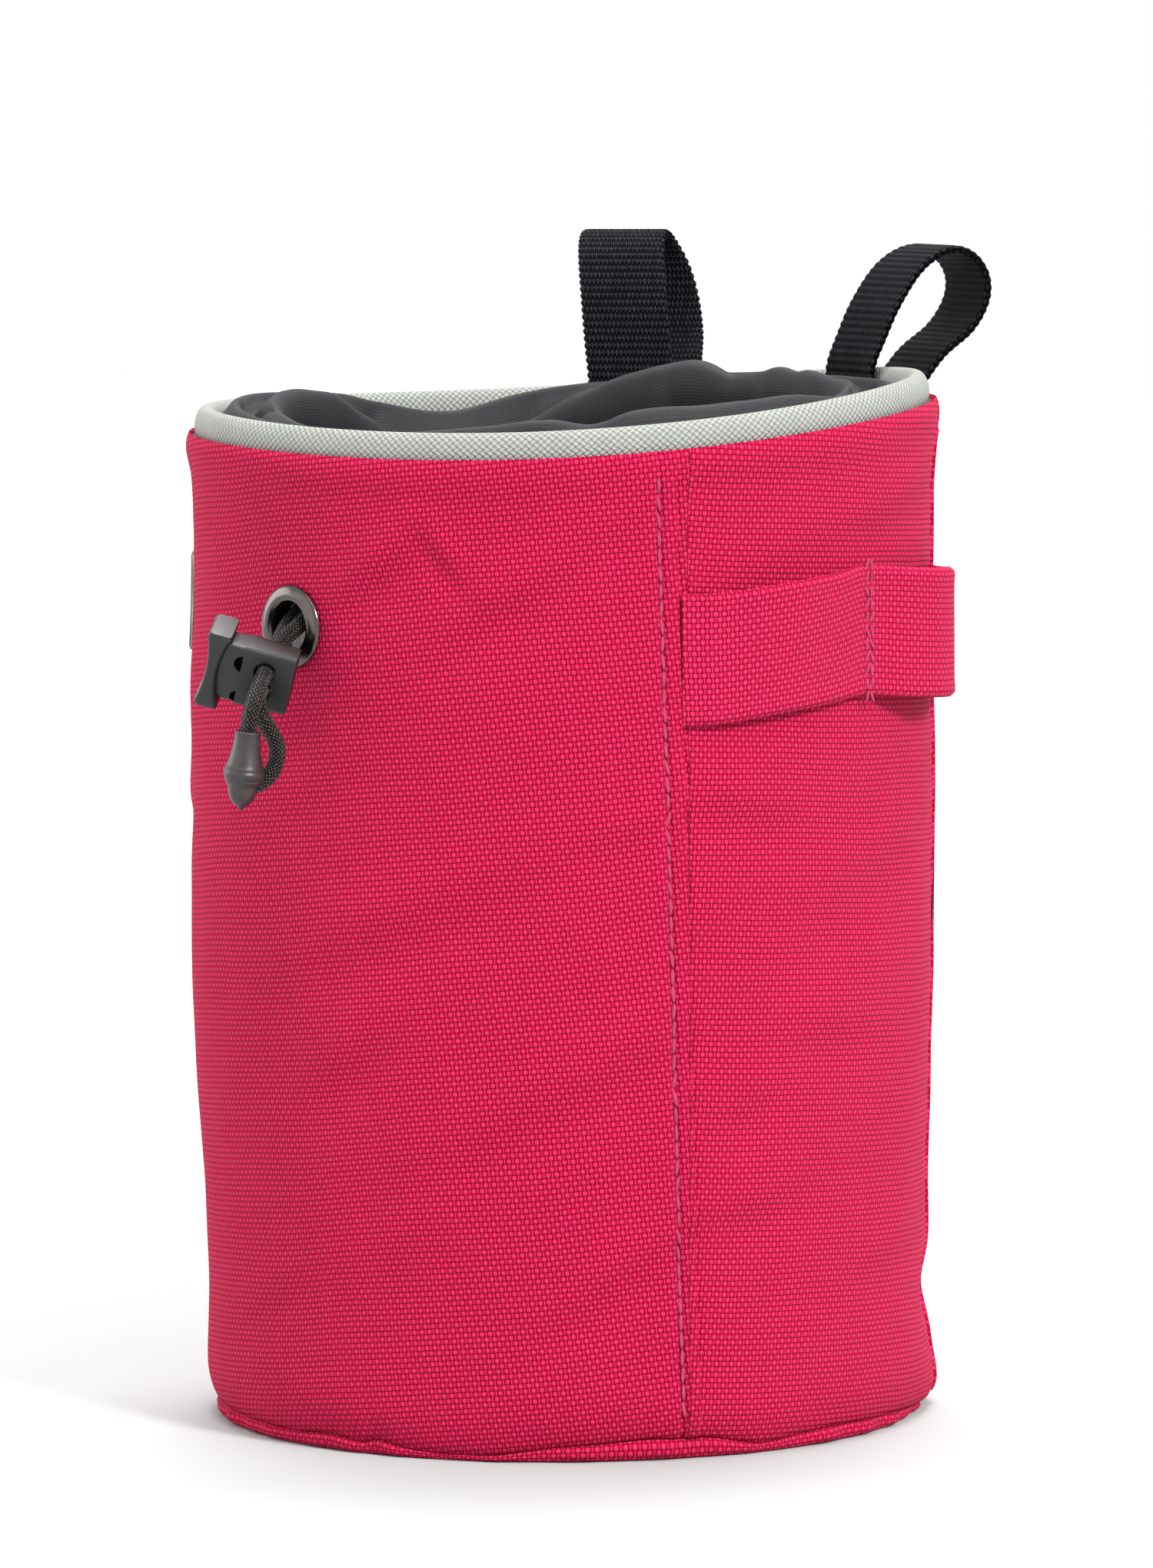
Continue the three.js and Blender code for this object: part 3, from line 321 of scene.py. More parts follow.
# Cord lock. A squeeze lock moulded in black nylon: a barrel with a two-lobed hole for the strands, and a
# plunger with a thumb head that a hidden spring pushes out and that slides 2 mm along the barrel. Its own
# axes run along the press direction, along its height and through its cord hole.
lock_place = Matrix((
    (0.81497, 0.42715, 0.39162, -0.01077784),
    (0.51421, -0.22138, -0.82860, -0.07287637),
    (-0.26724, 0.87666, -0.40006, 0.12843619),
    (0, 0, 0, 1),
))
moulded_nylon, tree = new_material("moulded_black_nylon")
here = add(tree, "ShaderNodeTexCoord").outputs["Object"]
grain = add(tree, "ShaderNodeTexNoise", inputs={"Vector": here, "Scale": 4200.0, "Detail": 3.0})
flow = add(tree, "ShaderNodeTexNoise", inputs={"Vector": here, "Scale": 260.0, "Detail": 2.0})
wear = add(tree, "ShaderNodeMath", grain, flow, operation="MULTIPLY")
tint = add(tree, "ShaderNodeMapRange", wear, 0.12, 0.42, 0.0, 1.0)
# Sockets 6 and 7 of a colour mix take its two colours
tints = {6: linear("#060708"), 7: linear("#101214")}
colour = add(tree, "ShaderNodeMix", tint, data_type="RGBA", inputs=tints)
gloss = add(tree, "ShaderNodeMapRange", flow, 0.3, 0.7, 0.36, 0.5)
bump = add(tree, "ShaderNodeBump", inputs={"Strength": 0.35, "Distance": 0.00004, "Height": grain})
shader = add(tree, "ShaderNodeBsdfPrincipled", inputs={
    "Base Color": colour.outputs[2], "Roughness": gloss, "IOR": 1.53, "Normal": bump,
})
add(tree, "ShaderNodeOutputMaterial", shader)


def rounded_loop(half_tall, half_deep, radius, steps=6):
    """A rectangle with rounded corners, in the lock's height and through directions."""
    points = []
    for k, (y, z) in enumerate(((1, 1), (-1, 1), (-1, -1), (1, -1))):
        for turn in np.linspace(0, math.pi / 2, steps) + k * math.pi / 2:
            points.append((
                y * (half_tall - radius) + radius * math.cos(turn),
                z * (half_deep - radius) + radius * math.sin(turn),
            ))
    return np.array(points)


def lock_block(name, rows, materials=()):
    """A block of rounded sections along the press direction. Rows: place, height, depth, corner radius."""
    rows = np.array(rows) / 1000
    grid = np.array([
        np.c_[np.full(24, at), rounded_loop(tall / 2, deep / 2, corner)] for at, tall, deep, corner in rows
    ])
    block = skin(name, grid, round_v=True, caps=True, materials=materials)
    block.data.transform(lock_place)
    return block


def cylinder_along(axis_matrix, radius, half_length, sides=40):
    """A plain closed cylinder along the local Z, used only to cut holes."""
    turn = np.linspace(0, 2 * math.pi, sides, endpoint=False)
    ring = np.c_[radius * np.cos(turn), radius * np.sin(turn)]
    grid = np.array([np.c_[ring, np.full(sides, z)] for z in (-half_length, half_length)])
    cutter = skin("cutter", grid, round_v=True, caps=True)
    cutter.data.transform(axis_matrix)
    return cutter


def cut(piece, cutters, angle=30):
    """Takes the cutters out of a piece for good, and keeps its edges crisp above an angle in degrees."""
    for cutter in cutters:
        difference = piece.modifiers.new("cut", "BOOLEAN")
        difference.object = cutter
        difference.solver = "EXACT"
    bpy.context.view_layer.update()
    graph = bpy.context.evaluated_depsgraph_get()
    baked = piece.evaluated_get(graph)
    mesh = bpy.data.meshes.new_from_object(baked, preserve_all_data_layers=True, depsgraph=graph)
    piece.modifiers.clear()
    piece.data = mesh
    mesh.set_sharp_from_angle(angle=math.radians(angle))
    for cutter in cutters:
        bpy.data.objects.remove(cutter)
    return piece


barrel = lock_block("lock_barrel_shell", [
    (0.0, 11.7, 6.7, 1.2), (0.1, 12.1, 7.1, 1.3), (0.35, 12.5, 7.5, 1.4), (1.4, 12.5, 7.5, 1.4),
    (1.5, 12.2, 7.25, 1.3), (1.8, 12.15, 7.2, 1.3), (7.0, 12.2, 7.3, 1.3), (7.3, 12.15, 7.1, 1.3),
    (9.2, 11.5, 4.6, 1.2), (9.7, 11.1, 3.9, 1.2), (9.95, 10.6, 3.3, 1.1), (10.0, 10.2, 3.0, 1.0),
], [moulded_nylon])
cavity = lock_block("cavity", [(-1, 10.8, 5.8, 0.9), (8.4, 10.8, 4.6, 0.9)])
cord_hole = [
    cylinder_along(lock_place @ Matrix.Translation((0.0039, y, 0)), 0.00185, 0.006)
    for y in (0.00172, -0.00172)
]
cut(barrel, [cavity, *cord_hole])

neck = lock_block("lock_plunger_body", [
    (-4.1, 10.2, 5.2, 0.7), (-0.4, 10.2, 5.2, 0.7), (0.2, 10.2, 5.2, 0.7), (6.6, 10.2, 4.6, 0.7),
], [moulded_nylon])
# Along, height and radius of the round cutters that leave the cord slot and the two finger notches
slot_cuts = np.array([
    (3.2, 1.72, 2.3), (3.2, -1.72, 2.3), (2.0, 0.0, 1.9), (0.1, 2.2, 1.45), (0.1, -3.9, 1.0),
]) / 1000
cut(neck, [
    cylinder_along(lock_place @ Matrix.Translation((x, y, 0)), radius, 0.006)
    for x, y, radius in slot_cuts.tolist()
])
head_rows = []
for y in np.linspace(-6.75, 6.75, 23):
    bend = (y / 6.75) ** 2
    edge = max(0, abs(y) - 6.2)
    outer, inner = -5.5 - 1.0 * bend + edge, -3.5 + 1.3 * bend - edge * 0.6
    loop = rounded_loop((inner - outer) / 2, 3.75 - 0.7 * edge, 0.6)
    head_rows.append(np.c_[loop[:, 0] + (inner + outer) / 2, np.full(24, y), loop[:, 1]])
grid = np.array(head_rows) / 1000
thumb_head = skin("lock_thumb_head", grid, round_v=True, caps=True, materials=[moulded_nylon])
thumb_head.data.transform(lock_place)
thumb_head.data.set_sharp_from_angle(angle=math.radians(40))


# Cord end. A bell of grey rubber pushed over both strands: a plain neck whose mouth shows the cord going
# in, a bulge with moulded rings, and a tapered tip. Its axis leans as it hangs from the lock.
bell_top = Vector((-4.23, -79.9, 119.1)) / 1000
bell_axis = Vector((-0.1315, -0.0041, -0.9913)).normalized()


def turned(name, profile, origin, axis, materials, sides=72):
    """A turned shape: the profile's radii and places along the axis, both in metres."""
    profile = np.array(profile, float)
    turn = np.linspace(0, 2 * math.pi, sides, endpoint=False)
    grid = np.stack([
        np.cos(turn)[:, None] * profile[:, 0], np.sin(turn)[:, None] * profile[:, 0],
        np.broadcast_to(profile[:, 1], (sides, len(profile))),
    ], 2)
    piece = skin(name, grid, round_u=True, round_v=True, materials=materials)
    piece.data.transform(Matrix.Translation(origin) @ axis.to_track_quat("Z", "Y").to_matrix().to_4x4())
    return piece


rubber, tree = new_material("moulded_grey_rubber")
here = add(tree, "ShaderNodeTexCoord").outputs["Object"]
dust = add(tree, "ShaderNodeTexNoise", inputs={"Vector": here, "Scale": 350.0, "Detail": 4.0})
tint = add(tree, "ShaderNodeMapRange", dust, 0.35, 0.7, 0.0, 1.0)
tints = {6: linear("#251D1E"), 7: linear("#332A2B")}
colour = add(tree, "ShaderNodeMix", tint, data_type="RGBA", inputs=tints)
skin_grain = add(tree, "ShaderNodeTexNoise", inputs={"Vector": here, "Scale": 3000.0, "Detail": 2.0})
bump = add(tree, "ShaderNodeBump", inputs={"Strength": 0.3, "Distance": 0.00003, "Height": skin_grain})
shader = add(tree, "ShaderNodeBsdfPrincipled", inputs={
    "Base Color": colour.outputs[2], "Roughness": 0.42, "IOR": 1.5, "Normal": bump,
})
add(tree, "ShaderNodeOutputMaterial", shader)

bell_profile = smooth_table([
    (0, 1.38, 3.0), (1, 1.4, 0.25), (2, 1.62, 0.02), (3, 1.95, 0.0), (4, 2.08, 0.14), (5, 2.06, 0.45),
    (6, 2.1, 1.4), (7, 2.36, 3.2), (8, 2.72, 4.8), (9, 2.96, 5.6), (10, 3.16, 5.9), (11, 3.12, 6.2),
    (12, 3.3, 6.6), (13, 3.32, 7.0), (14, 3.2, 7.4), (15, 3.05, 7.65), (16, 3.0, 8.0), (17, 2.76, 8.4),
    (18, 2.5, 8.8), (19, 2.36, 9.3), (20, 2.2, 10.2), (21, 1.85, 11.1), (22, 1.3, 11.8), (23, 0.65, 12.12),
    (24, 0.02, 12.2), (25, 0.02, 3.2),
], np.linspace(0, 25, 151)) / 1000
bell_profile[:, 0] = np.maximum(bell_profile[:, 0], 0.00002)
bell = turned("cord_end_bell", bell_profile, bell_top, bell_axis, [rubber])

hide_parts("lock_barrel")
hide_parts("lock_plunger")
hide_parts("lock_plunger")
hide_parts("cord_end")
for piece, body in ((barrel, "bag"), (neck, "plunger"), (thumb_head, "plunger"), (bell, "bag")):
    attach(piece, body)
for strand, route, node_name in ((strands[0], strand_a, "drawcord_a"), (strands[1], strand_b, "drawcord_b")):
    line, run = evenly(route, 0.0005)
    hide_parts(node_name)
    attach(strand, "bag")


# Side wall. Coated 600-denier polyester in a plain weave, magenta, cut as a front panel under the brush
# loop and one long panel round the rest, lapped and topstitched where they meet. The finished bucket is
# about 122 mm across; its top edge turns over the binding in a soft lip, and its inside is brushed fleece.
body_radius = 61.0
wall_height = 165.0
# The mouth leans towards one side and waves twice round its rim: heights in mm and their angles
rim_rise = 2.65
rim_rise_angle = 56
rim_wave = 1.6
rim_wave_angle = 36
seam_fold_angle = 35.0
seam_lap = 3.2
seam_step = 0.6
seam_twist = 4.0
stitch_place = 0.92
warp_pitch = 2 * math.pi * 0.061 / 556
weft_pitch = 0.00088


def rim_lift(angle):
    """How far the mouth rises at an angle, in mm."""
    lean = rim_rise * np.cos(np.radians(angle - rim_rise_angle))
    return lean + rim_wave * np.cos(2 * np.radians(angle - rim_wave_angle))


# Angle and height in mm of the crease where the wall's hem meets the bottom
hem_crease = [
    (-150, 2.2), (-130, 2.8), (-116, 2.6), (-104, 2.4), (-95, 2.8), (-89, 2.1), (-86, 2.8), (-82, 1.9),
    (-76, 1.3), (-66, 1.2), (-62, 1.8), (-57, 2.5), (-50, 3.0), (-41, 3.7), (-36, 3.6), (-30, 3.3),
    (-22, 1.8), (-14, 2.4), (-6, 2.8), (5, 2.6), (30, 2.0), (60, 2.9), (90, 2.0), (120, 2.8), (150, 2.1),
    (180, 2.7),
]


def hem_height(angle):
    """The height of the hem's crease at an angle."""
    return smooth_table(hem_crease, angle, 360)[..., 0]


# Height as a share of the wall, radius in body radii, thickness of the cloth in mm
wall_outline = [
    (0.0, 0.958, 1.6), (0.012, 0.974, 1.6), (0.035, 0.986, 1.6), (0.08, 0.984, 1.6), (0.14, 0.98, 1.6),
    (0.22, 0.984, 1.6), (0.32, 0.992, 1.6), (0.42, 0.997, 1.6), (0.52, 1.002, 1.6), (0.61, 1.005, 1.6),
    (0.7, 1.004, 1.6), (0.78, 1.003, 1.6), (0.85, 1.002, 1.6), (0.91, 1.003, 1.6), (0.955, 1.01, 1.6),
    (0.98, 1.023, 1.1), (0.993, 1.022, 1.05), (1.0, 1.015, 0.6),
]
# Dents and bulges: angle, height share, width in degrees, height share, lean per degree, depth in mm
wall_dents = [
    (-100, 0.7, 7, 0.03, 0.002, -1.0), (-5, 0.5, 14, 0.03, 0.002, -0.7), (-146, 0.45, 22, 0.22, 0, 1.2),
    (-138, 0.74, 7, 0.07, 0, 0.9), (35, 0.11, 9, 0.03, 0, -1.5), (38, 0.0, 14, 0.035, 0, 2.2),
    (62, 0.48, 17, 0.12, 0.001, -1.2), (98, 0.3, 16, 0.1, -0.001, 0.9), (128, 0.6, 15, 0.11, 0.001, -1.05),
    (165, 0.4, 15, 0.09, -0.001, -0.9), (-160, 0.2, 10, 0.03, 0.001, -1.2),
    (85, 0.72, 9, 0.025, 0.003, -1.3), (110, 0.45, 12, 0.022, -0.002, -1.2),
    (150, 0.78, 8, 0.03, 0.002, -1.3),
]
# Soft folds, each a rise with a hollow below it: the same places and sizes, and the height in mm
wall_folds = [
    (-83.5, 0.884, 6.2, 0.027, 0.0052, 0.87), (-72.2, 0.898, 4.1, 0.024, -0.0062, 0.7),
    (-62.7, 0.853, 8.5, 0.03, 0.0037, 0.92), (-47.4, 0.917, 5.8, 0.024, 0.0019, 0.27),
    (-77.9, 0.533, 20, 0.037, 0.0028, 0.7), (-89.7, 0.385, 8.7, 0.037, 0.0046, 0.6),
    (-53.9, 0.355, 19.6, 0.037, 0.0031, 0.65), (-44.4, 0.616, 9.1, 0.024, 0.0009, 0.38),
    (-24.8, 0.632, 11.1, 0.027, -0.0012, 0.54), (-47.6, 0.158, 10.8, 0.03, 0.0038, 0.6),
    (-23.7, 0.233, 10.9, 0.03, 0.0018, 0.54), (-23.1, 0.342, 6, 0.027, 0.003, 0.43),
    (4.1, 0.902, 22.4, 0.03, 0.0008, 0.54), (-8.8, 0.398, 12.8, 0.03, -0.0004, 0.38),
    (-23, 0.698, 14.3, 0.03, 0.0001, -0.38), (-78.1, 0.206, 8.5, 0.037, 0.004, 0.27),
    (8.3, 0.166, 12.5, 0.03, 0.0014, 0.33), (3.8, 0.561, 13.3, 0.03, 0.0011, 0.38),
    (-97.5, 0.655, 9.8, 0.037, 0.0043, 0.43), (-108.3, 0.13, 10, 0.03, 0.0031, 0.33),
    (70, 0.85, 12, 0.029, 0.003, 0.68), (100, 0.6, 14, 0.032, -0.003, 0.68),
    (140, 0.35, 14, 0.032, 0.003, 0.68), (178, 0.7, 12, 0.032, -0.002, 0.68),
    (-150, 0.6, 10, 0.032, 0.003, 0.6), (120, 0.16, 12, 0.029, 0.003, 0.6),
]

# Brings the peak of x exp(-x²), the shape across a fold, to 1
fold_gain = 2.33


def turn_between(start, end):
    """The turn from one angle to another, from -180 to 180 degrees."""
    return (end - start + 180) % 360 - 180


def seam_lift(angle, share):
    """The lap stands 0.6 mm proud from the fold to past the stitches, then fades into the panel."""
    lap = math.degrees(seam_lap / body_radius)
    lift = np.zeros(np.broadcast(angle, share).shape)
    for side in (-1, 1):
        past = side * turn_between(side * seam_fold_angle - seam_twist * (share - 0.5), angle)
        rise = np.clip((past + 0.15) / 0.3, 0, 1)
        fade = np.clip(1 - (past - lap) / (2 * lap), 0, 1)
        stitched = np.exp(-(((past - lap * stitch_place) / 0.55) ** 2))
        crevice = np.exp(-(((past + 0.35) / 0.25) ** 2))
        lift += seam_step * (rise * fade - 1.3 * stitched - 0.25 * crevice)
    return lift


def wall_radius(angle, share):
    """The outer face's radius in mm at an angle in degrees and a share of the wall's height."""
    angle, share = np.broadcast_arrays(np.asarray(angle, float), np.asarray(share, float))
    radius = body_radius * smooth_table(wall_outline, share)[..., 0]
    for centre, height, wide, tall, lean, depth in wall_dents:
        across = turn_between(centre, angle)
        up = (share - height - lean * across) / tall
        radius = radius + depth * np.exp(-((across / wide) ** 2) - up**2)
    for centre, height, wide, tall, lean, rise in wall_folds:
        across = turn_between(centre, angle)
        up = (share - height - lean * across) / tall
        radius = radius + fold_gain * rise * up * np.exp(-((across / wide) ** 2) - up**2)
    return radius + seam_lift(angle, share) * np.where(share < 0.97, 1, 0.4)


def wall_height_at(angle, share):
    """The height in mm at a share of the wall, from the hem's crease to the lip."""
    low = hem_height(angle)
    return low + share * (wall_height + rim_lift(angle) - low)


def height_share(angle, z):
    """The share of the wall at a height in mm."""
    low = hem_height(angle)
    return np.clip((z - low) / (wall_height + rim_lift(angle) - low), 0, 1)


def polar(radius, angle, z):
    """Points in metres from radii and heights in mm and angles in degrees."""
    turn = np.radians(angle)
    return np.stack(np.broadcast_arrays(radius * np.cos(turn), radius * np.sin(turn), z), -1) / 1000


# The wall's darkest colour is painted shade between the yarns and its lightest a painted highlight on their
# crowns.
wall_cloth = woven(
    "plain_weave_polyester", (warp_pitch, weft_pitch), "#7A0014", "#A00830", "#C42B58", 0.00022,
    slimness=(4.0, 0.55), crimp=0.5, wander=0.0022, roughness=0.6, sheen=0.015, specular=0.02,
)
fleece, tree = new_material("brushed_polyester_fleece")
here = add(tree, "ShaderNodeTexCoord").outputs["Object"]
pile = add(tree, "ShaderNodeTexNoise", inputs={
    "Vector": here, "Scale": 900.0, "Detail": 5.0, "Distortion": 1.5,
})
tint = add(tree, "ShaderNodeMapRange", pile, 0.35, 0.7, 0.0, 1.0)
tints = {6: linear("#222326"), 7: linear("#3A3B3F")}
colour = add(tree, "ShaderNodeMix", tint, data_type="RGBA", inputs=tints)
bump = add(tree, "ShaderNodeBump", inputs={"Strength": 0.8, "Distance": 0.0005, "Height": pile})
shader = add(tree, "ShaderNodeBsdfPrincipled", inputs={
    "Base Color": colour.outputs[2], "Roughness": 0.95, "Normal": bump,
    "Sheen Weight": 0.6, "Sheen Roughness": 0.6,
})
add(tree, "ShaderNodeOutputMaterial", shader)

by_seams = np.r_[np.arange(-41, -32.9, 0.15), np.arange(33, 41.1, 0.15)]
angles = np.unique(np.round(np.r_[np.linspace(-180, 180, 469)[:-1], by_seams], 3))
shares = np.r_[np.linspace(0, 0.05, 9)[:-1], np.linspace(0.05, 0.95, 110), np.linspace(0.95, 1, 13)[1:]]
station, share = np.meshgrid(angles, shares, indexing="ij")
outer_radius = wall_radius(station, share)
outer_z = wall_height_at(station, share)
waves = np.array([
    noise.noise(Vector(p) * 34) + 0.5 * noise.noise(Vector(p) * 75)
    for p in polar(body_radius, station, outer_z).reshape(-1, 3)
])
quiet = np.clip(share / 0.06, 0, 1) * np.clip((0.97 - share) / 0.06, 0, 1)
outer_radius = outer_radius + 0.4 * waves.reshape(station.shape) * quiet
thickness = smooth_table(wall_outline, share)[..., 1]
outer = polar(outer_radius, station, outer_z)
inner_pick = np.r_[0:len(shares):4]
inner = polar(outer_radius - thickness, station, outer_z)[:, inner_pick[::-1]]
grid = np.concatenate([outer, inner], 1)
# Both panels are cut a few degrees off the grain, so the weave's rows climb one way or the other
fronts = np.abs(angles) < seam_fold_angle
around = np.where(fronts, angles, angles % 360 - 180)
tilt = np.radians(np.where(fronts, -3.5, 6.0))[:, None]
across = np.radians(around)[:, None] * 0.061
up = np.concatenate([outer_z, outer_z[:, inner_pick[::-1]]], 1) / 1000
lengths = np.stack([across * np.cos(tilt) + up * np.sin(tilt), up * np.cos(tilt) - across * np.sin(tilt)], 2)
lengths = np.concatenate([lengths, lengths[:1]])
lengths = np.concatenate([lengths, lengths[:, :1]], 1)
parts = np.r_[np.zeros(len(shares), int), np.ones(len(inner_pick), int)]
parts[-1] = 0
wall = skin("side_wall_cloth", grid, lengths, True, True, parts=parts, materials=[wall_cloth, fleece])

eyelet_angle = -99.75
eyelet_height = 134.4
eyelet_seat = float(wall_radius(eyelet_angle, height_share(eyelet_angle, eyelet_height)))
eyelet_out = Vector((math.cos(math.radians(eyelet_angle)), math.sin(math.radians(eyelet_angle)), 0))
eyelet_centre = Vector(polar(eyelet_seat, eyelet_angle, eyelet_height))
punch = cylinder_along(
    Matrix.Translation(eyelet_centre) @ eyelet_out.to_track_quat("Z", "Y").to_matrix().to_4x4(), 0.0053, 0.01,
)
cut(wall, [punch], angle=70)
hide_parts("side_wall")
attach(wall, "bag")


# Stitching. Polyester thread, as light as the cloth's brightest yarns, in locked stitches about 2.8 mm long.
# Each row follows a line on the cloth: a slim stitch at every step, half sunk, with a little random tilt.
thread = woven(
    "polyester_thread", (0.00012, 0.00012), "#7A0C30", "#A82850", "#CC5078", 0.00004, diagonal=True,
    mottle=0.25,
)
stitching = bpy.data.node_groups.new("stitch_row", "GeometryNodeTree")
stitching.interface.new_socket("Geometry", in_out="INPUT", socket_type="NodeSocketGeometry")
stitch_inputs = {
    name: stitching.interface.new_socket(name, in_out="INPUT", socket_type=kind).identifier
    for name, kind in (
        ("Pitch", "NodeSocketFloat"), ("Stitch length", "NodeSocketFloat"),
        ("Thread radius", "NodeSocketFloat"), ("Tilt", "NodeSocketFloat"), ("Seed", "NodeSocketInt"),
        ("Thread", "NodeSocketMaterial"),
    )
}
stitching.interface.new_socket("Geometry", in_out="OUTPUT", socket_type="NodeSocketGeometry")
given = add(stitching, "NodeGroupInput").outputs
line = add(stitching, "GeometryNodeMeshToCurve", given[0])
points = add(stitching, "GeometryNodeResampleCurve", line, inputs={3: given[1]}, mode="LENGTH")
tangent = add(stitching, "GeometryNodeInputTangent")
aligned = add(stitching, "FunctionNodeAlignRotationToVector", inputs={"Vector": tangent.outputs[0]}, axis="X")
sway = add(stitching, "FunctionNodeRandomValue", inputs={8: given[5]}, data_type="FLOAT_VECTOR")
lowest = add(stitching, "ShaderNodeMath", given[4], -1.0, operation="MULTIPLY")
stitching.links.new(lowest.outputs[0], sway.inputs[0])
stitching.links.new(given[4], sway.inputs[1])
tilted = add(stitching, "FunctionNodeRotateRotation", aligned, sway.outputs[0], rotation_space="LOCAL")
ball = add(stitching, "GeometryNodeMeshUVSphere", 8, 6, 1.0)
half = add(stitching, "ShaderNodeMath", given[2], 0.5, operation="MULTIPLY")
size = add(stitching, "ShaderNodeCombineXYZ", half, given[3], given[3])
sewn = add(stitching, "GeometryNodeInstanceOnPoints", inputs={
    "Points": points, "Instance": ball.outputs[0], "Rotation": tilted, "Scale": size,
})
real = add(stitching, "GeometryNodeRealizeInstances", sewn)
smooth = add(stitching, "GeometryNodeSetShadeSmooth", real)
painted = add(stitching, "GeometryNodeSetMaterial", smooth, inputs={"Material": given[6]})
add(stitching, "NodeGroupOutput", painted)


def corner_places(mesh):
    """The place of every face corner of a mesh, in the order of its UV map."""
    spots = np.zeros(len(mesh.loops), np.int32)
    mesh.loops.foreach_get("vertex_index", spots)
    places = np.zeros(len(mesh.vertices) * 3, np.float32)
    mesh.vertices.foreach_get("co", places)
    return places.reshape(-1, 3)[spots]


def stitch_row(name, lines, pitch, length, radius, material, tilt=0.08, seed=1):
    """Stitches along one or more lines of points, as one plain mesh."""
    mesh = bpy.data.meshes.new(name)
    points = np.concatenate([np.asarray(line) for line in lines])
    edges, start = [], 0
    for line in lines:
        edges += [(start + i, start + i + 1) for i in range(len(line) - 1)]
        start += len(line)
    mesh.from_pydata(points.tolist(), edges, [])
    row = place_object(name, mesh)
    sewing = row.modifiers.new("stitches", "NODES")
    sewing.node_group = stitching
    values = (pitch, length, radius, tilt, seed, material)
    for identifier, value in zip(stitch_inputs.values(), values):
        sewing[identifier] = value
    bpy.context.view_layer.update()
    graph = bpy.context.evaluated_depsgraph_get()
    made = bpy.data.meshes.new_from_object(row.evaluated_get(graph), depsgraph=graph)
    row.modifiers.clear()
    row.data = made
    made.name = name
    if not made.uv_layers:
        made.uv_layers.new(name="cloth")
    places = corner_places(made)
    made.uv_layers[0].name = "cloth"
    made.uv_layers[0].data.foreach_set("uv", np.c_[places[:, 0] + places[:, 1], places[:, 2]].reshape(-1))
    return row


seam_rows = []
for side in (-1, 1):
    share = np.linspace(0.03, 0.965, 240)
    from_fold = stitch_place * math.degrees(seam_lap / body_radius)
    angle = side * (seam_fold_angle + from_fold) - seam_twist * (share - 0.5)
    seam_rows.append(polar(wall_radius(angle, share) + 0.15, angle, wall_height_at(angle, share)))
seam_stitches = stitch_row("side_seam_stitches", seam_rows, 0.0028, 0.003, 0.00034, thread, tilt=0.2, seed=3)
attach(seam_stitches, "bag")


# Bottom. A round panel of the same cloth, sewn to the wall's hem from inside, so that only a slim soft roll
# of it shows below the hem's crease. The sewing has puckered the roll.
ring_angles = np.linspace(-180, 180, 481)[:-1]
roll_radius = 58.9
floor_thickness = 2.0
# Step, inset from the roll's radius in mm, height as a share of the crease's
roll_outline = [
    (0, 4.5, 0.0), (1, 2.4, 0.0), (2, 1.3, 0.04), (3, 0.5, 0.2), (4, 0.05, 0.48), (5, 0.1, 0.76),
    (6, 0.6, 0.93), (7, 1.4, 0.97), (8, 2.4, 0.97),
]
outline = smooth_table(roll_outline, np.linspace(0, 8, 33))
pucker = np.array([noise.noise(Vector((math.cos(a), math.sin(a), 0)) * 11) for a in np.radians(ring_angles)])
bulge = np.clip(outline[:, 1] * 3, 0, 1) * np.clip((0.97 - outline[:, 1]) * 6, 0, 1)
radius = roll_radius - outline[:, 0] + 0.9 * pucker[:, None] * bulge
edge_grid = polar(radius, ring_angles[:, None], hem_height(ring_angles)[:, None] * outline[:, 1])
middle = [
    polar(np.full(480, r), ring_angles, np.full(480, floor_thickness * side))
    for r, side in ((56, 1), (40, 1), (15, 1), (0.05, 1), (0.05, 0), (15, 0), (40, 0))
]
grid = np.concatenate([edge_grid, np.stack(middle, 1)], 1)
bottom = skin("bottom_panel", grid, round_u=True, round_v=True, materials=[wall_cloth])
# The flat middle takes the cloth straight across, so its UV map is its own plan
places = corner_places(bottom.data)
flat = np.hypot(places[:, 0], places[:, 1]) < 0.0571
uv = np.zeros(len(places) * 2, np.float32)
bottom.data.uv_layers[0].data.foreach_get("uv", uv)
uv = uv.reshape(-1, 2)
whole = np.repeat(flat.reshape(-1, 4).any(1), 4)
uv[whole] = places[whole, :2]
bottom.data.uv_layers[0].data.foreach_set("uv", uv.reshape(-1))
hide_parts("base_panel")
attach(bottom, "bag")


# Binding. A stiff grey polyester braid, tubular, about 6.6 mm high and 4 mm thick, sewn round the mouth so
# that it holds it open. Its yarns cross at 45 degrees, about 1 mm from one crown to the next.
binding_width = 4.0
binding_height = 6.6
binding_seat = 2.4
lip_radius = 62.4
lip_thickness = 1.1
clearance = 0.3
binding_inner = lip_radius - lip_thickness - clearance - binding_width


def rim_top(angle):
    """The height of the binding's top at an angle."""
    return wall_height + rim_lift(angle) + binding_height - binding_seat


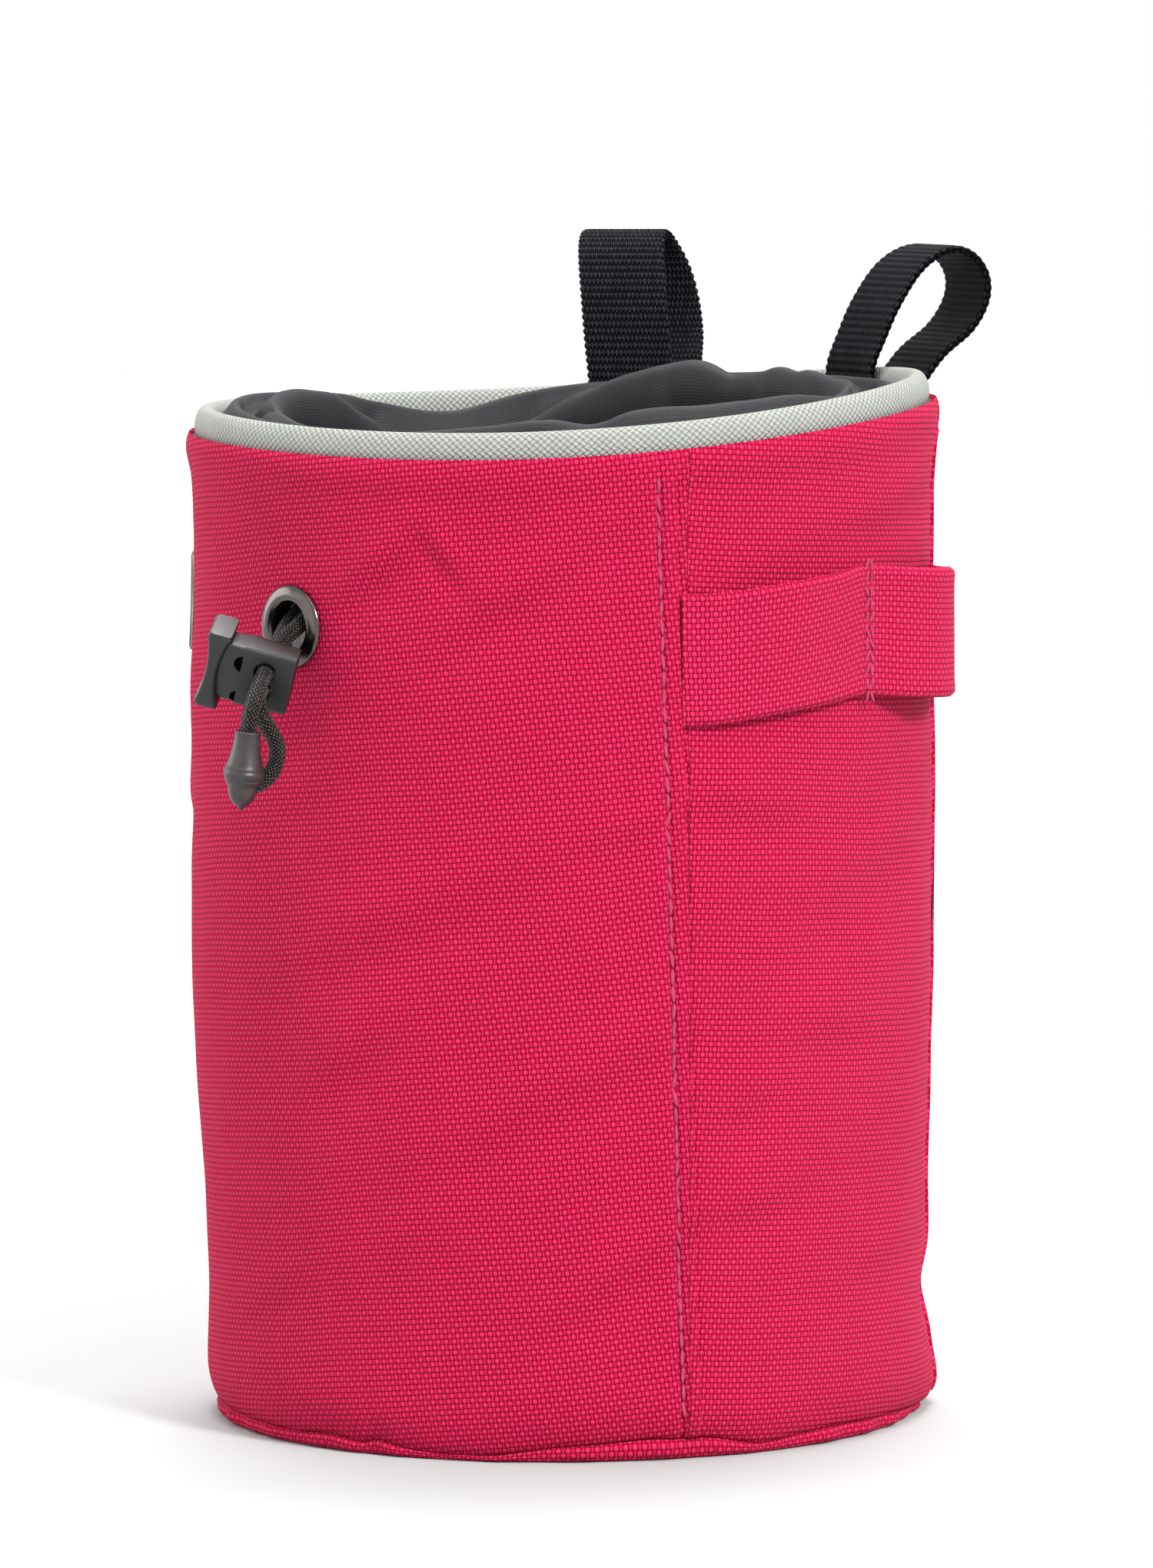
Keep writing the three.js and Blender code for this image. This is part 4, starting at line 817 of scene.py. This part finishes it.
braid_cell = 0.001216
braid = woven(
    "braided_polyester_binding", (braid_cell, braid_cell), "#6E706C", "#868883", "#989A95", 0.00024,
    slimness=(0.7, 0.7), crimp=0.5, diagonal=True, roughness=0.6, specular=0.2, mottle=0.06,
)
turn = np.linspace(0, 2 * math.pi, 41)[:-1]
station, around = np.meshgrid(np.linspace(-180, 180, 481)[:-1], turn, indexing="ij")
corner = binding_width / 2
straight = binding_height / 2 - corner
bow = 1 - 0.04 * np.abs(np.sin(around)) ** 3
radius = binding_inner + corner + corner * np.sign(np.cos(around)) * np.abs(np.cos(around)) ** 0.8 * bow
rise = (corner + straight) * np.sin(around) * (1 - 0.1 * np.cos(around) ** 2)
z = rim_top(station) - binding_height / 2 + rise
grid = polar(radius, station, z)
lengths = grid_lengths(grid, True, True)
lengths[..., 0] = np.linspace(0, 308 * braid_cell, 481)[:, None]
lengths[..., 1] *= 15 * braid_cell / lengths[..., 1].max()
binding = skin("rim_binding_braid", grid, lengths, True, True, materials=[braid])
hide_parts("rim_binding")
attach(binding, "bag")


# Collar. A sleeve of thin dark-grey nylon sewn inside the rim, with a drawcord hem. Nothing holds it up, so
# it has slumped inwards in soft folds: an outer one along the binding and a deeper one towards the middle.
collar_drop = 30.0
collar_fold = 4.0
collar_inset = 9.0
collar_cloth_thickness = 1.1
collar_hem_radius = 1.9
webbing_width = 15.0
left_loop_angle = 113.5
right_loop_angle = 65
# Angle, outer and inner fold in shares of 4 mm above the rim, reach of the inner fold in shares of 9 mm
collar_folds = [
    (-158, 0.1, 0.25, 0.75), (-120, -0.25, -0.5, 0.85), (-90, -0.3, -0.7, 0.95), (-66, 0.1, -0.5, 0.9),
    (-57, 0.38, -0.2, 0.9), (-49, 0.0, -0.7, 1.05), (-42, 0.42, -0.3, 0.9), (-28, 0.3, -0.5, 1.0),
    (-12, 0.18, -0.6, 1.0), (5, -0.4, -0.8, 0.9), (30, -0.6, -0.65, 0.8), (48, -0.6, -0.5, 0.8),
    (70, -0.4, 0.02, 0.9), (80, -0.4, -0.12, 0.95), (96, -0.2, 0.62, 1.1), (108, -0.1, 0.42, 1.05),
    (117, 0.0, 0.1, 1.0), (126, -0.1, -0.7, 1.0), (134, -0.35, -1.45, 0.95), (147, -0.95, -1.85, 0.9),
    (162, -0.45, -1.85, 0.85), (170, -0.1, -0.95, 0.8), (181, 0.05, 0.05, 0.75),
]
# Step, tuck in mm, inwards as a share of the reach, drop, outer and inner folds, roll, cloth and hem
collar_path = [
    (0, 0.0, 0.0, -0.22, 0.0, 0.0, 0, 1, 0), (1, 0.0, 0.0, -0.1, 0.4, 0.0, 0, 1, 0),
    (2, 0.39, 0.04, 0.0, 1.0, 0.0, -1.2, 1, 0), (3, 1.04, 0.12, 0.0, 1.0, 0.0, 0, 1, 0),
    (4, 1.3, 0.26, 0.0, 0.9, 0.1, -1.2, 1, 0), (5, 1.3, 0.52, -0.02, 0.4, 0.6, -1.8, 1, 0),
    (6, 1.3, 0.82, 0.0, 0.0, 1.0, -0.5, 1, 0), (7, 1.3, 1.0, 0.0, 0.0, 1.0, 0, 1, 0),
    (8, 1.3, 1.16, -0.02, 0.0, 1.0, -1.0, 1, 0), (9, 1.3, 1.18, -0.2, 0.0, 0.7, 0, 1, 0),
    (10, 1.3, 0.85, -0.5, 0.0, 0.2, 0, 1, 0), (11, 1.3, 0.5, -0.78, 0.0, 0.0, 0, 1, 0),
    (12, 1.3, 0.42, -0.88, 0.0, 0.0, 0, 0.3, 0.72), (13, 1.3, 0.4, -0.94, 0.0, 0.0, 0, 0, 1.0),
    (14, 1.3, 0.4, -1.0, 0.0, 0.0, 0, 0.3, 0.6),
]
nylon = woven(
    "thin_nylon_taffeta", (0.00042, 0.00042), "#1C1C1E", "#252527", "#2E2E31", 0.00004, slimness=(1.0, 1.0),
    crimp=0.4, wander=0.0008, roughness=0.55, specular=0.12,
)
# Sharp creases in the slumped cloth: from an angle and step to another, width in steps, height in mm
collar_creases = [
    (-68, 3.2, -47, 7.5, 0.35, 1.3), (-57, 2.2, -60, 6.5, 0.3, 0.9), (-47, 2.5, -30, 7.5, 0.35, 1.1),
    (-36, 3.0, -44, 8.0, 0.3, 0.7), (-22, 2.6, -2, 7.0, 0.4, 0.9), (-14, 3.5, -30, 8.2, 0.3, 0.7),
    (12, 3.0, 36, 7.5, 0.35, 0.8), (96, 3.0, 84, 8.5, 0.4, 1.2), (103, 2.6, 122, 8.0, 0.4, 1.1),
    (74, 3.2, 62, 8.0, 0.35, 0.9), (128, 3.0, 150, 8.0, 0.35, 0.9), (-120, 3.0, -98, 7.8, 0.4, 1.0),
    (-150, 3.0, -134, 7.8, 0.4, 1.0), (160, 3.0, 176, 8.0, 0.35, 0.9), (46, 3.0, 54, 8.0, 0.35, 0.8),
]
station, step = np.meshgrid(np.linspace(-180, 180, 721)[:-1], np.linspace(0, 14, 113), indexing="ij")
fold = smooth_table(collar_folds, station, 360)
path = smooth_table(collar_path, step)


def webbing_gap(angle):
    """The collar keeps clear of the webbing that goes down inside the rim."""
    half_turn = math.degrees(webbing_width / 2 / binding_inner)
    gaps = []
    for place in (left_loop_angle, right_loop_angle):
        past = np.clip((np.abs(turn_between(place, angle)) - half_turn) / 7, 0, 1)
        gaps.append(1 - past * past * (3 - 2 * past))
    return 1.6 * np.maximum(*gaps)


reach = collar_inset * fold[..., 2]
inset = clearance + collar_cloth_thickness / 2 + webbing_gap(station) + path[..., 0] + reach * path[..., 1]
lift = collar_fold * (fold[..., 0] * path[..., 3] + fold[..., 1] * path[..., 4])
line_radius = binding_inner - inset
line_z = rim_top(station) + collar_drop * path[..., 2] + lift + collar_cloth_thickness * path[..., 5]
half = collar_cloth_thickness / 2 * path[..., 6] + collar_hem_radius * path[..., 7]
dr, dz = np.gradient(line_radius, axis=1), np.gradient(line_z, axis=1)
size = np.hypot(dr, dz)
wrinkle = np.array([
    noise.noise(Vector(p) * 60) + 0.5 * noise.noise(Vector(p) * 130)
    for p in polar(line_radius, station, line_z).reshape(-1, 3)
]).reshape(station.shape) * np.clip((step - 2.5) / 2, 0, 1) * np.clip((12 - step) / 1.5, 0, 1)
wrinkle = 0.5 * wrinkle
for start_angle, start_step, end_angle, end_step, wide, tall in collar_creases:
    run, climb = (end_angle - start_angle) / 8, end_step - start_step
    off_x, off_y = turn_between(start_angle, station) / 8, step - start_step
    along = (off_x * run + off_y * climb) / (run * run + climb * climb)
    away = np.abs(off_x * climb - off_y * run) / math.hypot(run, climb)
    ends = np.clip(along / 0.3, 0, 1) * np.clip((1 - along) / 0.3, 0, 1)
    wrinkle = wrinkle + tall * ends * ends * (3 - 2 * ends) * np.exp(-np.hypot(away / wide, 0.35) + 0.35)
line_radius = line_radius - wrinkle * dz / size
line_z = line_z + wrinkle * dr / size
out, up = dz / size * half, dr / size * half
faces = [polar(line_radius - way * out, station, line_z + way * up) for way in (1, -1)]
grid = np.concatenate([faces[0], faces[1][:, ::-1]], 1)
collar = skin("drawcord_collar", grid, round_u=True, round_v=True, materials=[nylon])
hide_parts("collar")
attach(collar, "bag")


# Belt loops. Two lengths of 15 mm black polyester webbing, ribbed across, each sewn down inside the rim,
# looped up and over it and sewn down again on the outer wall. A waist belt goes through them.
webbing_thickness = 1.3
loop_reach = 23.4
loop_tail = 15.0
rib_pitch = 1.3
# Step, reach, share of the way to the outer leg, rise, drop, lean and how far it follows the round rim
loop_path = [
    (0, 0.0, 0, 0.0, -0.66, 0.0, 1), (1, 0.0, 0, 0.0, -0.2, 0.0, 1), (2, 0.02, 0, 0.05, 0, 0.05, 0.9),
    (3, 0.09, 0, 0.25, 0, 0.25, 0.6), (4, 0.2, 0, 0.52, 0, 0.5, 0.3), (5, 0.37, 0, 0.8, 0, 0.8, 0.1),
    (6, 0.54, 0, 0.95, 0, 0.97, 0), (7, 0.72, 0, 1.0, 0, 1.0, 0), (8, 0.88, 0, 0.93, 0, 0.85, 0),
    (9, 0.98, 0, 0.76, 0, 0.45, 0), (10, 0.97, 0, 0.55, 0, 0.1, 0.1), (11, 0.84, 0, 0.32, 0, -0.2, 0.3),
    (12, 0.5, 0.3, 0.1, 0, -0.4, 0.6), (13, 0.17, 0.75, 0.0, -0.25, -0.5, 0.9),
    (14, 0.04, 0.95, 0.0, -0.6, -0.55, 1), (15, 0.0, 1, 0.0, -1.0, -0.6, 1),
]
webbing = woven(
    "ribbed_polyester_webbing", (0.000375, 0.0013), "#010102", "#070709", "#2A2B30", 0.0002,
    slimness=(0.9, 20.0), crimp=0.7, specular=0.03, mottle=0.4,
)


def belt_loop(name, node_name, place, rise, lean, twist):
    """A loop made in its own plane, from its inner leg over the rim to its outer leg, and turned to
    its place. Its rise and lean are in mm, its place and twist in degrees."""
    rows = smooth_table(loop_path, np.linspace(0, 15, 601))
    inner_leg = binding_inner - clearance - webbing_thickness / 2
    outer_leg = lip_radius + clearance + webbing_thickness / 2
    out = inner_leg + loop_reach * rows[:, 0] + (outer_leg - inner_leg) * rows[:, 1]
    z = float(rim_top(place)) + rise * rows[:, 2] + loop_tail * rows[:, 3]
    side = lean * rows[:, 4]
    run = np.r_[0, np.cumsum(np.hypot(np.diff(out), np.diff(z)))]
    even = np.linspace(0, run[-1], round(run[-1] / 0.18))
    reach = np.interp(even, run, rows[:, 0])
    up_share = np.interp(even, run, rows[:, 2])
    hug = np.interp(even, run, rows[:, 5])
    out, z, side = (np.interp(even, run, values) for values in (out, z, side))
    turn = np.radians(twist) * (0.5 - reach) * up_share
    dr, dz = np.gradient(out), np.gradient(z)
    size = np.hypot(dr, dz)
    dr, dz = dr / size, dz / size
    rib = np.abs(np.sin(np.pi * even / rib_pitch))
    across = np.linspace(-1, 1, 29)
    faces = []
    for way in (1, -1):
        offset = way * webbing_thickness / 2
        rows_out = []
        for share in across:
            edge = max(0.0, abs(share) - 0.9) / 0.1
            wide = share * webbing_width / 2 + np.sign(share) * edge * 0.35 * (rib - 0.6)
            cells = share * webbing_width / 2 / 1.1 + 0.5 * np.floor(even / rib_pitch)
            cell = np.abs(np.sin(np.pi * cells))
            proud = offset * (0.82 + 0.22 * rib + 0.06 * cell) * (1 - 0.55 * edge ** 2)
            sag = hug * wide ** 2 / (2 * out) + wide * np.sin(turn)
            x = out - dz * proud - sag
            y = side + wide * np.cos(turn)
            rows_out.append(np.stack([x, y, z + dr * proud], 1))
        faces.append(np.stack(rows_out, 1))
    grid = np.concatenate([faces[0], faces[1][:, ::-1]], 1) / 1000
    angle = math.radians(place)
    x, y = grid[..., 0].copy(), grid[..., 1].copy()
    grid[..., 0] = x * math.cos(angle) - y * math.sin(angle)
    grid[..., 1] = x * math.sin(angle) + y * math.cos(angle)
    widths = np.r_[across, across[::-1], across[0]] * webbing_width / 2000
    lengths = np.stack(np.meshgrid(even / 1000, widths, indexing="ij"), 2)[..., ::-1]
    lengths = np.concatenate([lengths, lengths[-1:]])
    loop = skin(name, grid, lengths, round_v=True, caps=True, materials=[webbing])
    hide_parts(node_name)
    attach(loop, "bag")
    return loop


belt_loop("left_belt_loop", "belt_loop_left", left_loop_angle, 25.2, 4.5, 0)
belt_loop("right_belt_loop", "belt_loop_right", right_loop_angle, 19.8, 0, 8)


# Brush loop. A strip of the wall's cloth with its long edges folded under, sewn into both side seams and
# stitched down near its middle, so that it stands off the wall in a flat tunnel and a wide one.
strip_width = 21.3
strip_middle = 131.0
strip_thickness = 1.4
strip_bulge = 5.2
strip_start_angle = -33.8
strip_turn = 67.6
# Place along the strip, bulge and rise as shares of the strip's bulge and width
strip_path = [
    (0.0, 0.0, -0.06), (0.06, 0.1, -0.05), (0.15, 0.34, -0.01), (0.25, 0.4, 0.03), (0.35, 0.24, 0.06),
    (0.43, 0.06, 0.09), (0.47, 0.0, 0.09), (0.51, 0.12, 0.08), (0.57, 0.52, 0.06), (0.65, 0.94, 0.04),
    (0.7, 1.0, 0.03), (0.75, 0.92, 0.02), (0.84, 0.6, 0.0), (0.93, 0.22, -0.02), (1.0, 0.0, -0.03),
]
# As on the wall, the darkest colour is painted shade between the yarns and the lightest a painted highlight
# on their crowns.
strip_cloth = woven(
    "plain_weave_strip", (warp_pitch, weft_pitch), "#7C0016", "#A40A33", "#C82F5C", 0.00022,
    slimness=(4.0, 0.55), crimp=0.5, wander=0.003, roughness=0.6, sheen=0.015, specular=0.02,
)
place = np.linspace(-0.033, 1.033, 321)
rows = smooth_table(strip_path, place)
angle = strip_start_angle + strip_turn * place
middle = strip_middle + strip_width * rows[:, 1]
wall_here = np.max([
    wall_radius(angle, share) - seam_lift(angle, share)
    for share in (height_share(angle, middle + part * strip_width) for part in (-0.5, 0, 0.5))
], 0)
clear = np.clip(np.minimum(place + 0.033, 1.033 - place) / 0.06, 0, 1)
inner_radius = wall_here + 0.1 + 0.2 * clear
lean = 1.1 * np.clip((0.5 - place) / 0.1, 0, 1)
across = np.linspace(-0.5, 0.5, 33)
flat_middle = np.clip((0.5 - np.abs(across)) / 0.045, 0, 1)
rim_round = np.sqrt(1 - (1 - flat_middle) ** 2)
faces = []
for way in (0, 1):
    depth = strip_thickness * (0.5 + (way - 0.5) * rim_round)
    depth = depth + (0.12 * way) * np.exp(-(((np.abs(across) - 0.44) / 0.05) ** 2))
    bulge = strip_bulge * rows[:, :1] * (1 + lean[:, None] * across)
    radius = inner_radius[:, None] + bulge + depth[None] * (0.4 + 0.6 * clear[:, None])
    z = middle[:, None] + across[None] * strip_width
    faces.append(polar(radius, angle[:, None], z))
grid = np.concatenate([faces[1], faces[0][:, ::-1]], 1)
run = np.r_[0, np.cumsum(np.linalg.norm(np.diff(faces[1][:, 16], axis=0), axis=1))]
widths = np.r_[across, across[::-1], across[0]] * strip_width / 1000
lengths = np.stack(np.meshgrid(np.r_[run, run[-1]], widths, indexing="ij"), 2)
strip = skin("brush_loop_strip", grid, lengths, round_v=True, caps=True, materials=[strip_cloth])
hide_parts("brush_loop")
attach(strip, "bag")
tack_lines = []
for shift in (0.462, 0.478):
    at = smooth_table(strip_path, [shift])[0]
    tack_angle = np.full(60, strip_start_angle + strip_turn * shift)
    z = strip_middle + strip_width * (at[1] + np.linspace(-0.5, 0.5, 60))
    wall_there = wall_radius(tack_angle, height_share(tack_angle, z)).max()
    radius = wall_there + 0.3 + strip_bulge * at[0] + strip_thickness + 0.1
    tack_lines.append(polar(np.full(60, radius), tack_angle, z))
tack = stitch_row("brush_loop_stitches", tack_lines, 0.0021, 0.0024, 0.00024, thread, tilt=0.35, seed=8)
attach(tack, "bag")


# Eyelet. A pressed steel ring in gunmetal plating, 13.5 mm across: a domed flange outside, a short barrel
# through the cloth and a washer inside that it is rolled over. Its face is left plain.
gunmetal, tree = new_material("gunmetal_plated_steel")
here = add(tree, "ShaderNodeTexCoord").outputs["Object"]
haze = add(tree, "ShaderNodeTexNoise", inputs={"Vector": here, "Scale": 700.0, "Detail": 4.0})
gloss = add(tree, "ShaderNodeMapRange", haze, 0.3, 0.75, 0.14, 0.28)
tints = {6: linear("#4C4745"), 7: linear("#645D5B")}
tint = add(tree, "ShaderNodeMix", haze, data_type="RGBA", inputs=tints)
scratch = add(tree, "ShaderNodeTexNoise", inputs={"Vector": here, "Scale": 2500.0, "Detail": 2.0})
bump = add(tree, "ShaderNodeBump", inputs={"Strength": 0.15, "Distance": 0.00003, "Height": scratch})
shader = add(tree, "ShaderNodeBsdfPrincipled", inputs={
    "Base Color": tint.outputs[2], "Metallic": 1.0, "Roughness": gloss, "Normal": bump,
})
add(tree, "ShaderNodeOutputMaterial", shader)
eyelet_profile = smooth_table([
    (0, 5.0, 0.25), (1, 6.2, 0.25), (2, 6.72, 0.32), (3, 6.75, 0.5), (4, 6.55, 0.78), (5, 6.0, 1.12),
    (6, 5.3, 1.36), (7, 4.75, 1.34), (8, 4.3, 1.05), (9, 4.0, 0.45), (10, 3.9, -0.4), (11, 3.9, -1.4),
    (12, 4.05, -2.3), (13, 4.6, -2.85), (14, 5.3, -3.05), (15, 6.1, -3.0), (16, 6.5, -2.75),
    (17, 6.45, -2.4), (18, 5.8, -2.35), (19, 5.1, -2.35), (20, 4.95, -1.9), (21, 4.95, -0.9),
], np.linspace(0, 21, 106)) / 1000
eyelet = turned("eyelet_ring", eyelet_profile, eyelet_centre, eyelet_out, [gunmetal], 96)
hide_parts("eyelet")
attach(eyelet, "bag")


# Side label. A pale grey woven ribbon, 28 by 16 mm, sewn flat to the wall on its four sides and left bare.
label_cloth = woven(
    "woven_satin_label", (0.00028, 0.00034), "#B4B9BC", "#C6CACD", "#D4D8DA", 0.00004,
    slimness=(1.2, 1.0), crimp=0.4, roughness=0.55,
)
label_angle = -157
label_middle = 135.8
label_width = 28.0
label_height = 16.4
label_thickness = 0.5
angle = label_angle + np.linspace(-1, 1, 71) * math.degrees(label_width / 2 / body_radius)
across = np.linspace(-0.5, 0.5, 25)
z = label_middle + across * label_height
wall_here = wall_radius(angle[:, None], height_share(angle[:, None], z[None]))
rounding = np.sqrt(1 - (1 - np.clip((0.5 - np.abs(across)) / 0.03, 0, 1)) ** 2)
faces = []
for way in (0, 1):
    depth = label_thickness * (0.5 + (way - 0.5) * rounding)
    faces.append(polar(wall_here + 0.15 + depth, angle[:, None], z[None]))
grid = np.concatenate([faces[1], faces[0][:, ::-1]], 1)
label = skin("side_label_ribbon", grid, round_v=True, caps=True, materials=[label_cloth])
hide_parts("side_label")
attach(label, "bag")


# Studio. A white floor and a white world, bright enough to show as plain white, with a broad light on the
# right, one behind that throws the soft shadow forwards, and weaker ones above and on the left.
bpy.context.scene.view_settings.view_transform = "Standard"
floor_paint, tree = new_material("white_floor_paint")
shader = add(tree, "ShaderNodeBsdfPrincipled", inputs={
    "Base Color": (0.425, 0.442, 0.44, 1), "Roughness": 0.9, "Specular IOR Level": 0.0,
})
add(tree, "ShaderNodeOutputMaterial", shader)
corner = np.array([(-3, -3, 0), (3, -3, 0), (3, 3, 0), (-3, 3, 0)], float)
floor_mesh = bpy.data.meshes.new("floor")
floor_mesh.from_pydata(corner.tolist(), [], [(0, 1, 2, 3)])
floor_mesh.materials.append(floor_paint)
floor = place_object("floor", floor_mesh)
world = bpy.data.worlds.new("white_studio")
bpy.context.scene.world = world
world.use_nodes = True
world.node_tree.nodes.clear()
sky = add(world.node_tree, "ShaderNodeBackground", (1.0, 1.0, 1.0, 1.0), 1.0)
add(world.node_tree, "ShaderNodeOutputWorld", sky)
# Azimuth from the front, elevation, width in degrees, strength against the white world
for name, azimuth, elevation, width, strength in (
    ("key", 76, 32, 12, 1.2), ("top", 50, 65, 40, 0.2), ("back", 208, 68, 36, 1.15),
    ("fill", -24, 15, 60, 0.2), ("left", -76, 15, 40, 0.4),
):
    light_data = bpy.data.lights.new(name, "SUN")
    light_data.angle = math.radians(width)
    light_data.energy = math.pi * strength
    light = place_object(name, light_data)
    a, e = math.radians(azimuth), math.radians(elevation)
    towards = Vector((math.sin(a) * math.cos(e), -math.cos(a) * math.cos(e), math.sin(e)))
    light.rotation_euler = towards.to_track_quat("Z", "Y").to_euler()
